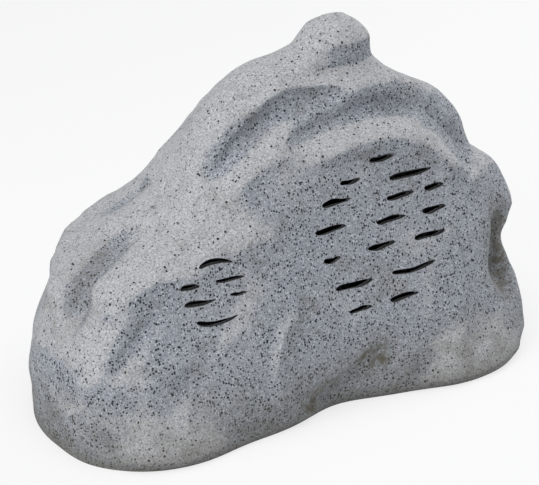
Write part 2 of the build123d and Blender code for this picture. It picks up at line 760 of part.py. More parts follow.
with BuildPart() as woofer_yoke:
    with BuildSketch(woofer_plane.offset(motor_back)):
        Circle(yoke_radius)
        Circle(vent_radius, mode=Mode.SUBTRACT)
    extrude(amount=-yoke_thickness)
    with BuildSketch(woofer_plane.offset(motor_back)):
        Circle(former_radius - pole_clearance)
        Circle(vent_radius, mode=Mode.SUBTRACT)
    extrude(amount=floor_back - motor_back)
write(woofer_yoke, "woofer_yoke")

# Terminal strip on the back of the spider shelf, with two solder tabs
terminal_radius = (basket_neck + spider_shelf_radius + 2 * basket_wall) / 2

with BuildPart() as woofer_terminals:
    with BuildSketch(woofer_plane.offset(shelf_back)):
        with Locations((0, -terminal_radius)):
            Rectangle(terminal_width, terminal_height)
    extrude(amount=-terminal_thickness)
    with BuildSketch(woofer_plane.offset(shelf_back - terminal_thickness)):
        with Locations((0, -terminal_radius)):
            with GridLocations(tab_pitch, 0, 2, 1):
                Rectangle(tab_width, tab_thickness)
    extrude(amount=-tab_length)
write(woofer_terminals, "woofer_terminals")

with BuildPart() as woofer_screws:
    with BuildSketch(woofer_plane.offset(frame_back)):
        with PolarLocations(woofer_screw_circle, woofer_screw_count, start_angle=45):
            Circle(woofer_screw_radius)
    extrude(amount=woofer_screw_length)
    with BuildSketch(woofer_plane.offset(frame_back)):
        with PolarLocations(woofer_screw_circle, woofer_screw_count, start_angle=45):
            Circle(woofer_screw_head)
    extrude(amount=-woofer_screw_radius, taper=screw_head_taper)
write(woofer_screws, "woofer_screws")

# Tweeter: distances along its axis, forward of the seat
plate_front = -tweeter_gasket_thickness
plate_back = plate_front - tweeter_plate_thickness
dome_base = plate_back - dome_thickness
dome_motor = dome_base - dome_plate_thickness
dome_motor_back = dome_motor - dome_magnet_thickness
dome_coil_inside = dome_radius + glue_gap
dome_coil_outside = dome_coil_inside + dome_coil_thickness
dome_ball = (dome_radius**2 + dome_rise**2) / (2 * dome_rise)
dome_roll = (horn_throat - dome_radius) / 2 - dome_thickness

with BuildPart() as tweeter_gasket:
    with BuildSketch(tweeter_plane):
        Circle(tweeter_gasket_radius)
        Circle(tweeter_gasket_hole, mode=Mode.SUBTRACT)
    extrude(amount=plate_front)
write(tweeter_gasket, "tweeter_gasket")

# Faceplate with a short flared horn around the dome
with BuildPart() as tweeter_faceplate:
    with BuildSketch(tweeter_section):
        with BuildLine():
            Polyline(
                (horn_mouth, plate_front),
                (tweeter_plate_radius, plate_front),
                (tweeter_plate_radius, plate_back),
                (horn_throat, plate_back),
                (horn_throat, plate_back + dome_thickness),
                close=True,
            )
        make_face()
    revolve(axis=tweeter_axis)
    with BuildSketch(tweeter_plane):
        with PolarLocations(tweeter_screw_circle, tweeter_screw_count, start_angle=45):
            Circle(tweeter_screw_radius + screw_clearance)
    extrude(amount=plate_back, mode=Mode.SUBTRACT)
write(tweeter_faceplate, "tweeter_faceplate")

# Diaphragm: dome, small half roll, clamped rim and former in one pressed piece
with BuildPart() as tweeter_diaphragm:
    with BuildSketch(tweeter_section):
        with Locations((0, dome_base + dome_rise - dome_ball)):
            Circle(dome_ball)
            Circle(dome_ball - dome_thickness, mode=Mode.SUBTRACT)
        with Locations((dome_radius + dome_roll, dome_base)):
            Circle(dome_roll + dome_thickness / 2)
            Circle(dome_roll - dome_thickness / 2, mode=Mode.SUBTRACT)
        with Locations((0, dome_base)):
            Rectangle(dome_ring, dome_rise, align=Align.MIN, mode=Mode.INTERSECT)
        with Locations((dome_radius + 2 * dome_roll, dome_base)):
            Rectangle(dome_ring - dome_radius - 2 * dome_roll, dome_thickness, align=Align.MIN)
        with Locations((dome_radius, dome_base + dome_thickness)):
            Rectangle(dome_thickness, dome_former_length, align=Align.MAX)
    revolve(axis=tweeter_axis)
write(tweeter_diaphragm, "tweeter_diaphragm")

with BuildPart() as tweeter_coil:
    with BuildSketch(tweeter_plane.offset((dome_base + dome_motor) / 2)):
        Circle(dome_coil_outside)
        Circle(dome_coil_inside, mode=Mode.SUBTRACT)
    extrude(amount=dome_coil_length / 2, both=True)
write(tweeter_coil, "tweeter_coil")

with BuildPart() as tweeter_top_plate:
    with BuildSketch(tweeter_plane.offset(dome_base)):
        Circle(dome_plate_radius)
        Circle(dome_coil_outside + dome_gap, mode=Mode.SUBTRACT)
    extrude(amount=-dome_plate_thickness)
write(tweeter_top_plate, "tweeter_top_plate")

with BuildPart() as tweeter_magnet:
    with BuildSketch(tweeter_plane.offset(dome_motor)):
        Circle(dome_plate_radius)
        Circle(dome_magnet_hole, mode=Mode.SUBTRACT)
    extrude(amount=-dome_magnet_thickness)
write(tweeter_magnet, "tweeter_magnet")

with BuildPart() as tweeter_yoke:
    with BuildSketch(tweeter_plane.offset(dome_motor_back)):
        Circle(dome_yoke_radius)
    extrude(amount=-dome_yoke_thickness)
    with BuildSketch(tweeter_plane.offset(dome_motor_back)):
        Circle(dome_radius - dome_thickness - dome_gap)
    extrude(amount=dome_base - dome_motor_back)
write(tweeter_yoke, "tweeter_yoke")

# Terminal strip on the back of the faceplate, below the motor
dome_tab_radius = (dome_plate_radius + tweeter_plate_radius) / 2 + glue_gap

with BuildPart() as tweeter_terminals:
    with BuildSketch(tweeter_plane.offset(plate_back)):
        with Locations((0, -dome_tab_radius)):
            Rectangle(dome_tab_strip_width, dome_tab_strip_height)
    extrude(amount=-terminal_thickness)
    with BuildSketch(tweeter_plane.offset(plate_back - terminal_thickness)):
        with Locations((0, -dome_tab_radius)):
            with GridLocations(dome_tab_pitch, 0, 2, 1):
                Rectangle(dome_tab_width, tab_thickness)
    extrude(amount=-tab_length)
write(tweeter_terminals, "tweeter_terminals")

with BuildPart() as tweeter_screws:
    with BuildSketch(tweeter_plane.offset(plate_back)):
        with PolarLocations(tweeter_screw_circle, tweeter_screw_count, start_angle=45):
            Circle(tweeter_screw_radius)
    extrude(amount=tweeter_screw_length)
    with BuildSketch(tweeter_plane.offset(plate_back)):
        with PolarLocations(tweeter_screw_circle, tweeter_screw_count, start_angle=45):
            Circle(tweeter_screw_head)
    extrude(amount=-tweeter_screw_radius, taper=screw_head_taper)
write(tweeter_screws, "tweeter_screws")

# Crossover board on the base plate's posts
component_plane = Plane((board_x, board_y, board_top))

with BuildPart() as crossover_board:
    with BuildSketch(board_plane):
        RectangleRounded(board_length, board_width, board_corner)
        with GridLocations(*board_hole_pitch, 2, 2):
            Circle(board_screw_radius + screw_clearance, mode=Mode.SUBTRACT)
    extrude(amount=board_thickness)
write(crossover_board, "crossover_board")

with BuildPart() as crossover_screws:
    with BuildSketch(component_plane):
        with GridLocations(*board_hole_pitch, 2, 2):
            Circle(board_screw_radius)
    extrude(amount=-board_screw_length)
    with BuildSketch(component_plane):
        with GridLocations(*board_hole_pitch, 2, 2):
            Circle(board_screw_head)
    extrude(amount=board_screw_radius, taper=screw_head_taper)
write(crossover_screws, "crossover_screws")

with BuildPart() as inductor_bobbin:
    with BuildSketch(component_plane):
        with Locations(inductor_spot):
            Circle(bobbin_radius)
    extrude(amount=bobbin_height)
    with BuildSketch(component_plane.offset(bobbin_flange)):
        with Locations(inductor_spot):
            Circle(bobbin_radius)
            Circle(bobbin_core, mode=Mode.SUBTRACT)
    extrude(amount=bobbin_height - 2 * bobbin_flange, mode=Mode.SUBTRACT)
    with BuildSketch(component_plane):
        with Locations(inductor_spot):
            Circle(bobbin_bore)
    extrude(amount=bobbin_height, mode=Mode.SUBTRACT)
write(inductor_bobbin, "inductor_bobbin")

with BuildPart() as inductor_winding:
    with BuildSketch(component_plane.offset(bobbin_flange)):
        with Locations(inductor_spot):
            Circle(bobbin_core + glue_gap + winding_depth)
            Circle(bobbin_core + glue_gap, mode=Mode.SUBTRACT)
    extrude(amount=bobbin_height - 2 * bobbin_flange)
write(inductor_winding, "inductor_winding")

capacitors = {
    "capacitor_large": (large_capacitor_spot, large_capacitor_radius, large_capacitor_height),
    "capacitor_small": (small_capacitor_spot, small_capacitor_radius, small_capacitor_height),
}
for capacitor_name, (spot, radius, height) in capacitors.items():
    with BuildPart() as capacitor:
        with BuildSketch(component_plane):
            with Locations(spot):
                Circle(radius)
        extrude(amount=height)
        fillet(capacitor.edges().group_by(Axis.Z)[-1], capacitor_edge)
        # Rolled groove that holds the can on its seal
        with BuildSketch(component_plane.offset(capacitor_groove_height)):
            with Locations(spot):
                Circle(radius)
                Circle(radius - capacitor_groove, mode=Mode.SUBTRACT)
        extrude(amount=2 * capacitor_groove, mode=Mode.SUBTRACT)
    write(capacitor, capacitor_name)

with BuildPart() as power_resistor:
    with BuildSketch(component_plane):
        with Locations(resistor_spot):
            Rectangle(resistor_length, resistor_width)
    extrude(amount=resistor_width)
    chamfer(power_resistor.edges().group_by(Axis.Z)[-1], resistor_chamfer)
write(power_resistor, "power_resistor")

# Screw terminal block: wires go in at the front, and screws clamp them from above
block_length = block_ways * block_pitch

with BuildPart() as terminal_block:
    with BuildSketch(component_plane):
        with Locations(block_spot):
            Rectangle(block_length, block_depth)
    extrude(amount=block_height)
    chamfer(terminal_block.edges().group_by(Axis.Z)[-1].filter_by(Axis.X), block_chamfer)
    block_front = Plane(
        (board_x + block_spot[0], board_y + block_spot[1] - block_depth / 2, board_top + block_entry_height),
        x_dir=(1, 0, 0),
        z_dir=(0, -1, 0),
    )
    with BuildSketch(block_front):
        with GridLocations(block_pitch, 0, block_ways, 1):
            Circle(block_entry_radius)
    extrude(amount=-block_entry_depth, mode=Mode.SUBTRACT)
    with BuildSketch(component_plane.offset(block_height)):
        with Locations(block_spot):
            with GridLocations(block_pitch, 0, block_ways, 1):
                Circle(block_entry_radius)
    extrude(amount=-block_chamfer, mode=Mode.SUBTRACT)
write(terminal_block, "terminal_block")

# Cable gland through the back wall: distances along its axis, out from the spot face
gland_flange_front = gland_washer_thickness + gland_flange_thickness
gland_neck_end = gland_flange_front + gland_neck_length

with BuildPart() as gland_washer:
    with BuildSketch(gland_plane):
        Circle(gland_washer_radius)
        Circle(gland_thread_radius + pilot_clearance, mode=Mode.SUBTRACT)
    extrude(amount=gland_washer_thickness)
write(gland_washer, "gland_washer")

with BuildPart() as gland_body:
    with BuildSketch(gland_plane.offset(gland_washer_thickness)):
        RegularPolygon(gland_flats / 2, 6, major_radius=False)
    extrude(amount=gland_flange_thickness)
    with BuildSketch(gland_plane.offset(gland_flange_front)):
        Circle(gland_neck_radius)
    extrude(amount=gland_neck_length)
    with BuildSketch(gland_plane.offset(gland_washer_thickness)):
        Circle(gland_thread_radius)
    extrude(amount=-gland_thread_length)
    with BuildSketch(gland_plane.offset(gland_neck_end)):
        Circle(gland_bore)
    extrude(amount=-gland_neck_end - gland_thread_length, mode=Mode.SUBTRACT)
    with BuildSketch(gland_plane.offset(gland_neck_end)):
        Circle(gland_seal_radius + glue_gap)
    extrude(amount=-gland_seal_length, mode=Mode.SUBTRACT)
write(gland_body, "gland_body")

with BuildPart() as gland_seal:
    with BuildSketch(gland_plane.offset(gland_neck_end)):
        Circle(gland_seal_radius)
        Circle(gland_seal_bore, mode=Mode.SUBTRACT)
    extrude(amount=-gland_seal_length)
write(gland_seal, "gland_seal")

with BuildPart() as gland_cap_nut:
    with BuildSketch(gland_plane.offset(gland_neck_end + gland_cap_roof)):
        RegularPolygon(gland_flats / 2 + gland_cap_roof / 2, 6, major_radius=False)
    extrude(amount=-gland_cap_length)
    fillet(gland_cap_nut.faces().sort_by(Axis.Y)[-1].edges(), gland_cap_roof / 2)
    with BuildSketch(gland_plane.offset(gland_neck_end)):
        Circle(gland_neck_radius + glue_gap)
    extrude(amount=-gland_cap_length, mode=Mode.SUBTRACT)
    with BuildSketch(gland_plane.offset(gland_neck_end)):
        Circle(gland_bore)
    extrude(amount=gland_cap_roof, mode=Mode.SUBTRACT)
write(gland_cap_nut, "gland_cap_nut")

with BuildPart() as gland_locknut:
    with BuildSketch(gland_plane.offset(gland_back - gland_face)):
        RegularPolygon(gland_flats / 2, 6, major_radius=False)
        Circle(gland_thread_radius + pilot_clearance, mode=Mode.SUBTRACT)
    extrude(amount=-gland_nut_thickness)
write(gland_locknut, "gland_locknut")

# Leads from the terminal block to the drivers' tabs: straight runs joined by arcs
block_back = block_front.origin + Vector(0, block_entry_depth, 0)


def block_approach(way):
    """The last two points of a lead: before the block, and at the bottom of its entry."""
    across = Vector((way - (block_ways - 1) / 2) * block_pitch, 0, 0)
    return block_front.origin + across - Vector(0, lead_approach, 0), block_back + across


with BuildPart() as woofer_leads:
    for k, side in enumerate((1, -1)):
        before_block, end = block_approach(block_ways - 1 - k)
        depth = shelf_back - terminal_thickness - tab_length - lead_radius - glue_gap
        start = woofer_plane.from_local_coords((side * tab_pitch / 2, -terminal_radius, depth))
        drop = lead_drop - k * block_pitch
        below = woofer_plane.from_local_coords((side * tab_pitch / 2, -terminal_radius - drop, depth))
        middle = before_block + Vector(lead_sweep, -lead_sweep / 2 + k * block_pitch, (1 + k) * block_pitch)
        with BuildLine() as woofer_route:
            FilletPolyline(start, below, middle, before_block, end, radius=lead_bend)
        with BuildSketch(Plane(origin=woofer_route.line @ 0, z_dir=woofer_route.line % 0)):
            Circle(lead_radius)
        sweep()
write(woofer_leads, "woofer_leads")

with BuildPart() as tweeter_leads:
    for k, side in enumerate((-1, 1)):
        before_block, end = block_approach(k)
        depth = plate_back - terminal_thickness - tab_length
        start = tweeter_plane.from_local_coords((side * dome_tab_pitch / 2, -dome_tab_radius, depth))
        spot = side * dome_tab_pitch / 2, -dome_tab_radius, depth - lead_drop / 2
        behind = tweeter_plane.from_local_coords(spot)
        middle = before_block + Vector(-lead_sweep / 2, -lead_sweep / 2, lead_drop)
        with BuildLine() as tweeter_route:
            FilletPolyline(start, behind, middle, before_block, end, radius=lead_bend)
        with BuildSketch(Plane(origin=tweeter_route.line @ 0, z_dir=tweeter_route.line % 0)):
            Circle(lead_radius)
        sweep()
write(tweeter_leads, "tweeter_leads")
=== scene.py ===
# %% [markdown]
# # A rock shaped garden speaker
# This lesson dresses a imported CAD model of a garden loudspeaker. The speaker hides a woofer and a tweeter in
# a moulded rock of granite-effect resin. We load the CAD pieces as a fixed frame.

# %% Load the CAD pieces
import json

import bpy
import numpy as np
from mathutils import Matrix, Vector


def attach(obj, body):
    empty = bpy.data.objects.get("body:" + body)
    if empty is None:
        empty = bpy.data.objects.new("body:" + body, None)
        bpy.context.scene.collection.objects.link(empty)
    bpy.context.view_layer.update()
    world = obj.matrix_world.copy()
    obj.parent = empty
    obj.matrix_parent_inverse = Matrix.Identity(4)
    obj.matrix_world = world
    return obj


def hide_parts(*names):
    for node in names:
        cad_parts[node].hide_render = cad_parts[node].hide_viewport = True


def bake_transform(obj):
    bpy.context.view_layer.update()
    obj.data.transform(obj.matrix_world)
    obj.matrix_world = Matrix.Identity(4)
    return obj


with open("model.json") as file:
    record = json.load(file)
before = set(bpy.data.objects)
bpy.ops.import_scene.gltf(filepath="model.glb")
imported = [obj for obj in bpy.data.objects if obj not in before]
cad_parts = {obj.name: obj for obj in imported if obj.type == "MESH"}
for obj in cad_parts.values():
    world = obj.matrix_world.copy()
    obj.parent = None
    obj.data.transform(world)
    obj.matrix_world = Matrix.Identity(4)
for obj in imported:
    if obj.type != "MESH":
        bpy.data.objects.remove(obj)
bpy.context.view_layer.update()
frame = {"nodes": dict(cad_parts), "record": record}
pieces = frame["nodes"]

# %% [markdown]
# ## The camera
# A product photographer stood in front and to the left, a little above the rock, with a long lens: the slots
# keep their shape from one side of the rock to the other. We place the camera by two angles about a target
# point and set the lens from the picture's scale, because those are numbers that a photograph gives.

# %% Camera
picture_width = 539
sensor_width = 36.0
camera_azimuth, camera_elevation = np.radians(-34.0), np.radians(24.0)
camera_distance = 2.2
metres_per_pixel = 0.00087
target = np.array([-0.020, -0.060, 0.140])
to_camera = np.array([
    np.sin(camera_azimuth) * np.cos(camera_elevation),
    -np.cos(camera_azimuth) * np.cos(camera_elevation),
    np.sin(camera_elevation),
])
lens = bpy.data.cameras.new("camera")
lens.sensor_fit = "HORIZONTAL"
lens.sensor_width = sensor_width
lens.lens = sensor_width * camera_distance / metres_per_pixel / picture_width
lens.clip_end = 50.0
camera = bpy.data.objects.new("camera", lens)
camera.location = Vector(target + to_camera * camera_distance)
camera.rotation_euler = Vector(-to_camera).to_track_quat("-Z", "Y").to_euler()
bpy.context.scene.collection.objects.link(camera)
bpy.context.scene.camera = camera
print("lens:", round(lens.lens, 1), "mm")

# %% [markdown]
# ## Small tools for materials
# Every finish below is a handful of shader nodes. One function adds a node with its settings and links, and
# one turns the sRGB colours that we write as hex into the linear numbers that the shader works with.

# %% Node and colour helpers
def linear(colour):
    """Linear red, green, blue and alpha of an sRGB hex colour."""
    part = np.array([int(colour[k:k + 2], 16) for k in (1, 3, 5)]) / 255
    value = np.where(part <= 0.04045, part / 12.92, ((part + 0.055) / 1.055) ** 2.4)
    return (*value.tolist(), 1.0)


def node(tree, kind, inputs=(), out=None, **settings):
    """Add a shader node; inputs are pairs of a socket and a value or an output, settings are its properties.
    Returns the node, or the output that is asked for."""
    made = tree.nodes.new("ShaderNode" + kind)
    for name, value in settings.items():
        setattr(made, name, value)
    for name, value in inputs:
        if isinstance(value, bpy.types.NodeSocket):
            tree.links.new(value, made.inputs[name])
        else:
            made.inputs[name].default_value = value
    return made if out is None else made.outputs[out]


def new_finish(name, **sockets):
    """A material with a Principled shader and its plain sockets set. Returns it, its tree and the shader."""
    finish = bpy.data.materials.new(name)
    finish.use_nodes = True
    tree = finish.node_tree
    shader = tree.nodes["Principled BSDF"]
    for socket, value in sockets.items():
        shader.inputs[socket.replace("_", " ")].default_value = value
    return finish, tree, shader


def feed(tree, shader, **outputs):
    """Link node outputs to a shader's sockets."""
    for socket, value in outputs.items():
        tree.links.new(value, shader.inputs[socket.replace("_", " ")])


print("helpers ready")

# %% [markdown]
# ## Floor, background and light
# The photograph is a cut-out on white: light from a large softbox overhead and two at the sides, with little
# from the front, so the front face is the darker one. The white comes from the background's own colour, as
# the camera sees it, and not from more light on the rock.

# %% Background
def looks_at_background(tree):
    """1 for rays from the camera, from gloss or through glass, which show the background white, and 0 for the
    rays that only light the rock."""
    path = node(tree, "LightPath")
    seen = path.outputs["Is Camera Ray"]
    for ray in ("Is Glossy Ray", "Is Transmission Ray"):
        seen = node(tree, "Math", [(0, seen), (1, path.outputs[ray])], out=0, operation="MAXIMUM")
    return seen


fill_strength = 0.38
scene = bpy.context.scene
scene.view_settings.view_transform = "Standard"
world = bpy.data.worlds.new("studio")
scene.world = world
world.use_nodes = True
tree = world.node_tree
tree.nodes.clear()
fill = node(tree, "Background", [("Color", linear("#F2F5FA")), ("Strength", fill_strength)], out=0)
white = node(tree, "Background", [("Color", linear("#FFFFFF")), ("Strength", 1.0)], out=0)
either = node(tree, "MixShader", [(0, looks_at_background(tree)), (1, fill), (2, white)], out=0)
node(tree, "OutputWorld", [("Surface", either)])
print("background: white to the camera, soft grey to the rock")

# %% Softboxes
def softbox(name, place, size, watts):
    """A square area lamp that faces the middle of the rock."""
    lamp = bpy.data.lights.new(name, "AREA")
    lamp.energy = watts
    lamp.size = size
    holder = bpy.data.objects.new(name, lamp)
    holder.location = place
    holder.rotation_euler = (Vector(target) - Vector(place)).to_track_quat("-Z", "Y").to_euler()
    scene.collection.objects.link(holder)


softbox("softbox_above", (-0.25, -0.15, 2.1), 1.6, 20.0)
softbox("softbox_left", (-1.9, -0.7, 0.9), 1.2, 15.5)
softbox("softbox_right", (1.8, 0.1, 0.9), 1.2, 12.0)
print("softboxes: above, left and right")

# %% Floor
floor_half = 6.0
glow_share = 0.72
floor_mesh = bpy.data.meshes.new("floor")
floor_corners = floor_half * np.array([(-1, -1, 0), (1, -1, 0), (1, 1, 0), (-1, 1, 0)])
floor_mesh.from_pydata(floor_corners.tolist(), [], [(0, 1, 2, 3)])
floor = bpy.data.objects.new("floor", floor_mesh)
scene.collection.objects.link(floor)
paper, tree, shader = new_finish("backdrop_paper", Base_Color=linear("#F4F4F2"), Roughness=0.9)
glow = node(tree, "Emission", [("Color", linear("#FFFFFF")), ("Strength", 1.0)], out=0)
share = node(tree, "Math", [(0, looks_at_background(tree)), (1, glow_share)], out=0, operation="MULTIPLY")
either = node(tree, "MixShader", [(0, share), (1, shader.outputs[0]), (2, glow)], out=0)
tree.links.new(either, tree.nodes["Material Output"].inputs["Surface"])
floor_mesh.materials.append(paper)
print("floor laid")

# %% [markdown]
# ## The rock's form
# A rock could be sculpted by hand, or grown from noise. This one has a known outline, so it is worked out
# from four profiles, one for each side: how far the rock reaches at each share of its height. A level section
# is a rounded square between the four reaches. Ridges and hollows are then pushed out or in along paths over
# the surface. These are the CAD model's own numbers, in millimetres, so the skin lies where the solid lies. A
# bearing is in degrees: 0 looks to the right, 90 to the back, 180 to the left and 270 to the front.

# %% Sizes and profiles
rock_height = 318.0
left_reach, right_reach = 233.0, 242.0
front_reach, back_reach = 144.0, 140.0
wall = 7.0
crown_fade = 12.0
left_profile = [
    (0.0, 0.995), (0.044, 1.0), (0.22, 0.985), (0.34, 0.915), (0.4, 0.889), (0.44, 0.86), (0.47, 0.797),
    (0.5, 0.7), (0.535, 0.58), (0.58, 0.48), (0.65, 0.382), (0.755, 0.278), (0.811, 0.223), (0.843, 0.195),
    (0.876, 0.14), (0.897, -0.03), (0.918, -0.14), (0.95, -0.18), (0.981, -0.21), (1.0, -0.255),
]
right_profile = [
    (0.0, 0.975), (0.044, 1.0), (0.142, 0.985), (0.283, 0.94), (0.409, 0.992), (0.503, 0.945),
    (0.572, 0.835), (0.645, 0.805), (0.73, 0.735), (0.792, 0.6), (0.836, 0.5), (0.881, 0.457),
    (0.937, 0.445), (0.975, 0.41), (1.0, 0.355),
]
front_profile = [
    (0.0, 0.965), (0.031, 1.0), (0.094, 1.0), (0.189, 0.951), (0.314, 0.861), (0.456, 0.743),
    (0.645, 0.583), (0.698, 0.528), (0.736, 0.468), (0.774, 0.44), (0.815, 0.43), (0.838, 0.39),
    (0.86, 0.325), (0.882, 0.292), (0.906, 0.296), (0.943, 0.312), (0.978, 0.262), (1.0, 0.181),
]
back_profile = [
    (0.0, 0.957), (0.044, 1.0), (0.189, 1.0), (0.377, 0.914), (0.566, 0.743), (0.723, 0.5),
    (0.824, 0.271), (0.887, 0.129), (0.943, 0.064), (0.978, 0.0), (1.0, -0.093),
]
spine_right = [(0.0, 0.021), (0.472, 0.041), (0.723, 0.207), (0.881, 0.289), (1.0, 0.318)]
spine_front = [(0.0, 0.312), (0.472, 0.278), (0.723, 0.174), (0.881, 0.139), (1.0, 0.139)]
front_right_squareness = [(0.0, 4.0), (0.629, 3.4), (0.881, 2.2), (1.0, 2.0)]
front_left_squareness = [(0.0, 3.7), (0.189, 3.3), (0.377, 3.0), (0.629, 3.0), (0.881, 2.2), (1.0, 2.0)]
back_squareness = [(0.0, 2.0), (1.0, 2.0)]
print("profiles:", len(left_profile), len(right_profile), len(front_profile), len(back_profile), "knots")

# %% Ridges, hollows and dishes
# Each ridge is a path of (bearing, height share), how wide it spreads and how high it stands. A dish is a
# place, a radius, a depth and how flat its bottom is.
ridges = {
    "upper_riser": ([(266, 0.82), (254, 0.825), (242, 0.821), (231, 0.806), (227, 0.756), (217, 0.703),
                     (205, 0.66)], 14, -14),
    "saddle_lip": ([(264, 0.84), (239, 0.861), (224, 0.836), (218, 0.771)], 13, 5),
    "crest": ([(271, 0.778), (254, 0.774), (240, 0.746), (233, 0.715), (225, 0.677), (217, 0.628),
               (212, 0.575), (210, 0.536), (216, 0.486), (217, 0.423)], 13, 6),
    "left_hollow": ([(174, 0.525), (177, 0.484), (181, 0.426), (182, 0.352)], 15, -17),
    "left_rim": ([(166, 0.46), (165, 0.38), (168, 0.3)], 20, 4),
    "left_back_hollow": ([(156, 0.57), (151, 0.53), (148, 0.5)], 20, -9),
    "left_valley": ([(187, 0.623), (198, 0.557)], 15, -5),
    "front_left_crease": ([(226, 0.379), (222, 0.328), (219, 0.28), (217, 0.255)], 13, -5),
    "low_left_hollow": ([(240, 0.288), (237, 0.229), (230, 0.189)], 22, -6),
    "left_lobe": ([(218, 0.226), (207, 0.274)], 28, 4),
    "left_toe_crease": ([(180, 0.201), (200, 0.164)], 13, -3),
    "toe_fold": ([(282, 0.147), (279, 0.137), (275, 0.125), (271, 0.098), (268, 0.055)], 15, -4),
    "right_groove": ([(317, 0.403), (319, 0.314), (318, 0.19)], 15, -17),
    "right_valley": ([(322, 0.327), (345, 0.308)], 20, -5),
    "woofer_brow": ([(258, 0.686), (269, 0.708), (278, 0.713), (293, 0.703), (306, 0.629), (311, 0.55)],
                     13, 8),
    "second_riser": ([(246, 0.737), (262, 0.75), (285, 0.771), (305, 0.749), (315, 0.687), (325, 0.577)],
                      13, -10),
    "right_flank": ([(315, 0.648), (323, 0.585)], 16, -4),
    "tweeter_brow": ([(228, 0.478), (238, 0.535), (250, 0.522)], 16, 4),
    "right_toe": ([(293, 0.013), (314, 0.02)], 30, 18),
    "left_toe": ([(222, 0.0), (242, 0.0)], 30, 13),
    "back_ridge": ([(68, 0.063), (72, 0.377), (84, 0.676), (95, 0.824)], 34, 9),
    "back_left_valley": ([(112, 0.094), (116, 0.346), (122, 0.597)], 30, -9),
    "back_right_valley": ([(34, 0.189), (38, 0.44), (52, 0.676)], 26, -8),
    "right_end_ridge": ([(8, 0.031), (6, 0.252), (14, 0.535)], 30, 6),
}
dishes = {
    "woofer_dish": ((284, 0.459), 80, -3, 6),
    "tweeter_dish": ((240, 0.421), 38, -4, 6),
    "toe_hollow": ((271, 0.0), 46, -16, 2),
}
print("ridges and hollows:", len(ridges), "dishes:", len(dishes))

# %% The form's formula
def along(knots, share):
    """Smooth curve through (share, value) knots: a cubic for each span, whose slope at a knot is the harmonic
    mean of the spans' rises, or level at a turn, so that it never swings past a knot."""
    place, value = np.array(knots, float).T
    step = np.diff(place)
    rise = np.diff(value) / step
    slope = np.concatenate([rise[:1], np.zeros(len(step) - 1), rise[-1:]])
    same_way = rise[:-1] * rise[1:] > 0
    mean = 2 * rise[:-1] * rise[1:] / np.where(same_way, rise[:-1] + rise[1:], 1.0)
    slope[1:-1] = np.where(same_way, mean, 0.0)
    span = np.clip(np.searchsorted(place, share) - 1, 0, len(step) - 1)
    t = (share - place[span]) / step[span]
    start = (1 + 2 * t) * value[span] + t * step[span] * slope[span]
    end = (3 - 2 * t) * value[span + 1] - (1 - t) * step[span] * slope[span + 1]
    return (1 - t) ** 2 * start + t**2 * end


def smooth_rock(bearing, share):
    """Points of the rock without ridges, and the level direction out of each: at each height, a superellipse
    about the spine whose half axes are the four profiles' reaches on the side that the bearing looks to."""
    across, back = np.cos(np.radians(bearing)), np.sin(np.radians(bearing))
    spine_x = right_reach * along(spine_right, share)
    spine_y = -front_reach * along(spine_front, share)
    to_right = right_reach * along(right_profile, share) - spine_x
    to_left = left_reach * along(left_profile, share) + spine_x
    to_back = back_reach * along(back_profile, share) - spine_y
    to_front = front_reach * along(front_profile, share) + spine_y
    half_width = np.where(across >= 0, to_right, to_left)
    half_depth = np.where(back >= 0, to_back, to_front)
    right_square, left_square = along(front_right_squareness, share), along(front_left_squareness, share)
    front_square = np.where(across >= 0, right_square, left_square)
    power = np.where(back >= 0, along(back_squareness, share), front_square)
    size = (np.abs(across) ** power + np.abs(back) ** power) ** (-1 / power)
    x = spine_x + size * half_width * across
    y = spine_y + size * half_depth * back
    z = np.broadcast_to(share * rock_height, np.shape(x))
    out_x = np.sign(across) * np.abs(across) ** (power - 1) / half_width
    out_y = np.sign(back) * np.abs(back) ** (power - 1) / half_depth
    length = np.hypot(out_x, out_y)
    return np.stack([x, y, z], -1), np.stack([out_x / length, out_y / length], -1)


blobs_a_span = 8


def ridge_lift(points, softness=1.0, forms=ridges):
    """Millimetres that the ridges push the surface out at each point: round blobs added up along each ridge's
    path. A softness over 1 spreads them, lowers the ridges and deepens the hollows, which keeps a cavity
    clear of the outer face."""
    lift = np.zeros(len(points))
    for path, spread, height in forms.values():
        bearings, shares = np.array(path, float).T
        t = np.linspace(0, len(path) - 1, blobs_a_span * (len(path) - 1) + 1)
        knot = np.arange(len(path))
        line = smooth_rock(np.interp(t, knot, bearings), np.interp(t, knot, shares))[0]
        middle = (line[1:] + line[:-1]) / 2
        length = np.linalg.norm(np.diff(line, axis=0), axis=1)
        wide = spread * softness
        distance = np.linalg.norm(points[:, None, :] - middle[None, :, :], axis=-1)
        share = np.exp(-((distance / wide) ** 2)) @ length / (wide * np.sqrt(np.pi))
        lift += height * softness ** (0.5 if height < 0 else -0.5) * share
    return lift


def lift_at(points, softness=1.0):
    """The ridges' lift and, for each dish, a flat bottomed bell."""
    lift = ridge_lift(points, softness)
    for (bearing, share), radius, depth, power in dishes.values():
        centre = smooth_rock(np.array([bearing]), np.array([share]))[0]
        lift += depth * np.exp(-((np.linalg.norm(points - centre, axis=-1) / radius) ** power))
    return lift


def rock(bearing, share, softness=1.0):
    """Points of the rock with its ridges, and the level direction out: smooth points moved out by the lift,
    which fades away at the crown."""
    points, out = smooth_rock(bearing, share)
    lift = lift_at(points, softness) * np.clip((1 - share) * rock_height / crown_fade, 0, 1)
    points[:, :2] += out * lift[:, None]
    return points, out


front_crowding = 0.35


def bearings_round(count):
    """Bearings of a ring of points, closer together on the front than on the back."""
    turn = 360.0 * np.arange(count) / count
    return turn - front_crowding * np.degrees(np.sin(np.radians(turn - 270)))


print("knob:", np.round(rock(np.array([270.0]), np.array([1.0]))[0], 1))

